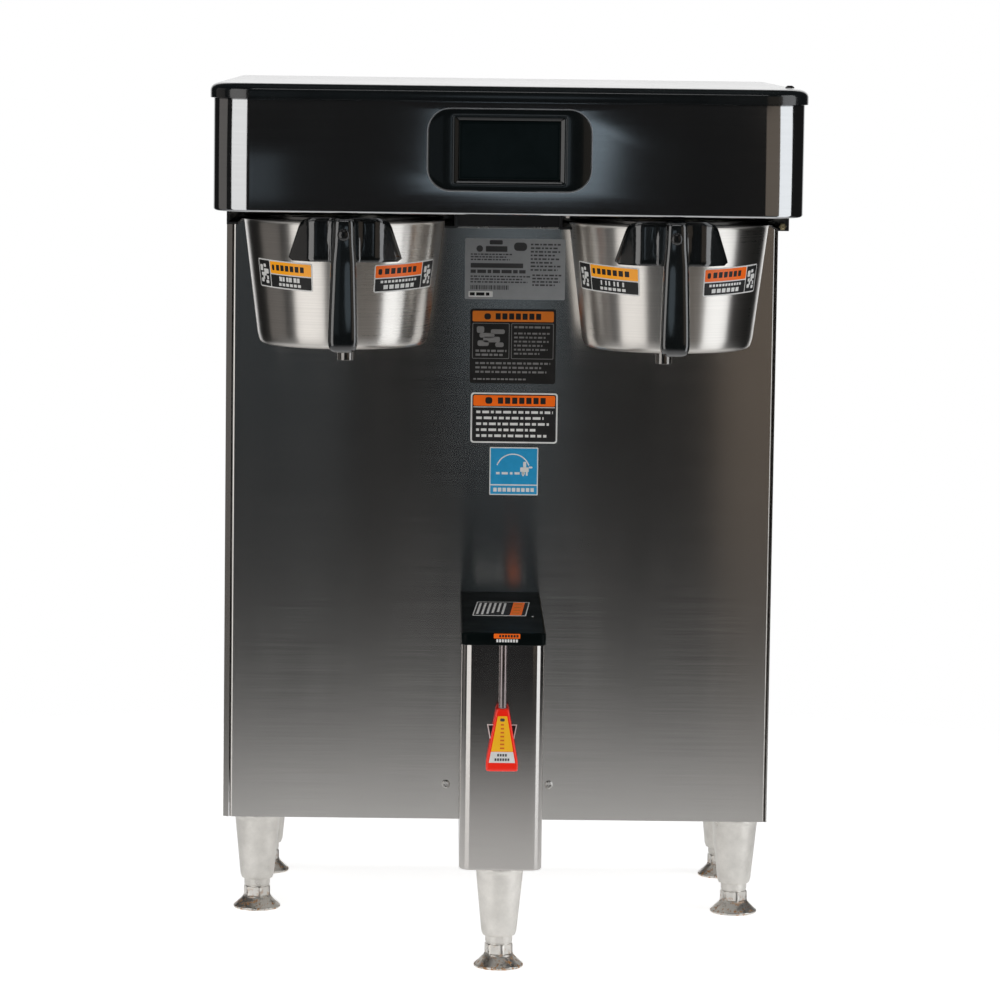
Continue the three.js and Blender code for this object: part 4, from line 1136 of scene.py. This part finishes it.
# ------------------------------------------------------------------ world and lights
w = bpy.data.worlds.new("studio")
bpy.context.scene.world = w
w.use_nodes = True
nt = w.node_tree
nt.nodes.clear()
wo = nt.nodes.new("ShaderNodeOutputWorld")
bg = nt.nodes.new("ShaderNodeBackground")
nt.links.new(bg.outputs[0], wo.inputs[0])
tc = nt.nodes.new("ShaderNodeTexCoord")
sp = nt.nodes.new("ShaderNodeSeparateXYZ")
nt.links.new(tc.outputs["Generated"], sp.inputs[0])
behind = ramp(nt, sp.outputs[1], 0.84, 0.95, 0.014, 1.15)
above = ramp(nt, sp.outputs[2], 0.80, 0.98, 0.0, 0.05)
val = op(nt, "MAXIMUM", behind, above)
grey = mixc(nt, val, (0.0, 0.0, 0.0), (1.0, 1.0, 1.0))
lp = nt.nodes.new("ShaderNodeLightPath")
nt.links.new(mixc(nt, lp.outputs["Is Camera Ray"], grey, (1.0, 1.0, 1.0)), bg.inputs["Color"])
bg.inputs["Strength"].default_value = 1.0


def area(name, loc, target, sx, sy, radiance, col=(1, 1, 1), spread=180.0, shape="RECTANGLE"):
    l = bpy.data.lights.new(name, "AREA")
    l.shape = shape
    l.size, l.size_y = sx, sy
    l.energy = radiance * math.pi * sx * sy * (math.pi / 4 if shape == "ELLIPSE" else 1.0)
    l.color = col
    l.spread = math.radians(spread)
    o = bpy.data.objects.new(name, l)
    bpy.context.scene.collection.objects.link(o)
    o.location = loc
    d = Vector(target) - Vector(loc)
    o.rotation_euler = d.to_track_quat("-Z", "Y").to_euler()
    o.visible_camera = False
    return o


def polar(az, dist, z):
    a = math.radians(az)
    return (dist * math.sin(a), -dist * math.cos(a), z)


area("soft_left", polar(-44, 2.2, 0.62), (0, 0, 0.55), 1.5, 2.6, 1.28, (1.0, 0.985, 0.97))
area("soft_right", (1.495, -0.785, 0.62), (0.0, 0.0, 0.55), 0.98, 2.5, 1.50, (0.96, 0.98, 1.0))
area("left_rim", polar(-92, 2.0, 0.8), (0, 0, 0.7), 1.1, 1.8, 0.16, (1.0, 0.93, 0.88))
area("warm_fill", (1.40, -2.48, 0.95), (0.1, -0.1, 0.75), 1.75, 1.9, 0.17, (1.0, 0.82, 0.66))
area("front_top", (0.0, -2.5, 2.85), (0.0, -0.3, 0.84), 1.3, 0.5, 1.35)
top = area("soft_top", (0.0, -0.2, 2.9), (0, 0.0, 0), 2.2, 2.2, 2.6)
top.visible_glossy = False
area("front_panel_glow", (0.104, -4.95, 0.69), (0.05, -0.3, 0.82), 0.50, 0.50, 0.46, (0.72, 0.88, 1.0), shape="ELLIPSE")
area("front_side_glow", (-0.95, -4.95, 0.75), (-0.2, -0.3, 0.82), 0.8, 1.2, 0.07, (0.72, 0.88, 1.0))

# ------------------------------------------------------------------ camera
cam_d = bpy.data.cameras.new("camera")
cam_d.lens = 158.03
cam_d.sensor_width = 36.0
cam_d.clip_start = 0.1
cam_d.clip_end = 60.0
cam = bpy.data.objects.new("camera", cam_d)
bpy.context.scene.collection.objects.link(cam)
ya, pi_, ro = math.radians(0.770), math.radians(6.265), math.radians(0.763)
fwd = Vector((math.sin(ya) * math.cos(pi_), math.cos(ya) * math.cos(pi_), -math.sin(pi_)))
right = Vector((math.cos(ya), -math.sin(ya), 0))
up = right.cross(fwd)
r2 = right * math.cos(ro) + up * math.sin(ro)
u2 = -right * math.sin(ro) + up * math.cos(ro)
mat = Matrix.Identity(4)
for i in range(3):
    mat[i][0], mat[i][1], mat[i][2] = r2[i], u2[i], -fwd[i]
mat[0][3], mat[1][3], mat[2][3] = -0.06429, -4.68390, 0.96965
cam.matrix_world = mat
bpy.context.scene.camera = cam
bpy.context.scene.view_settings.view_transform = "Standard"
bpy.context.scene.view_settings.look = "None"
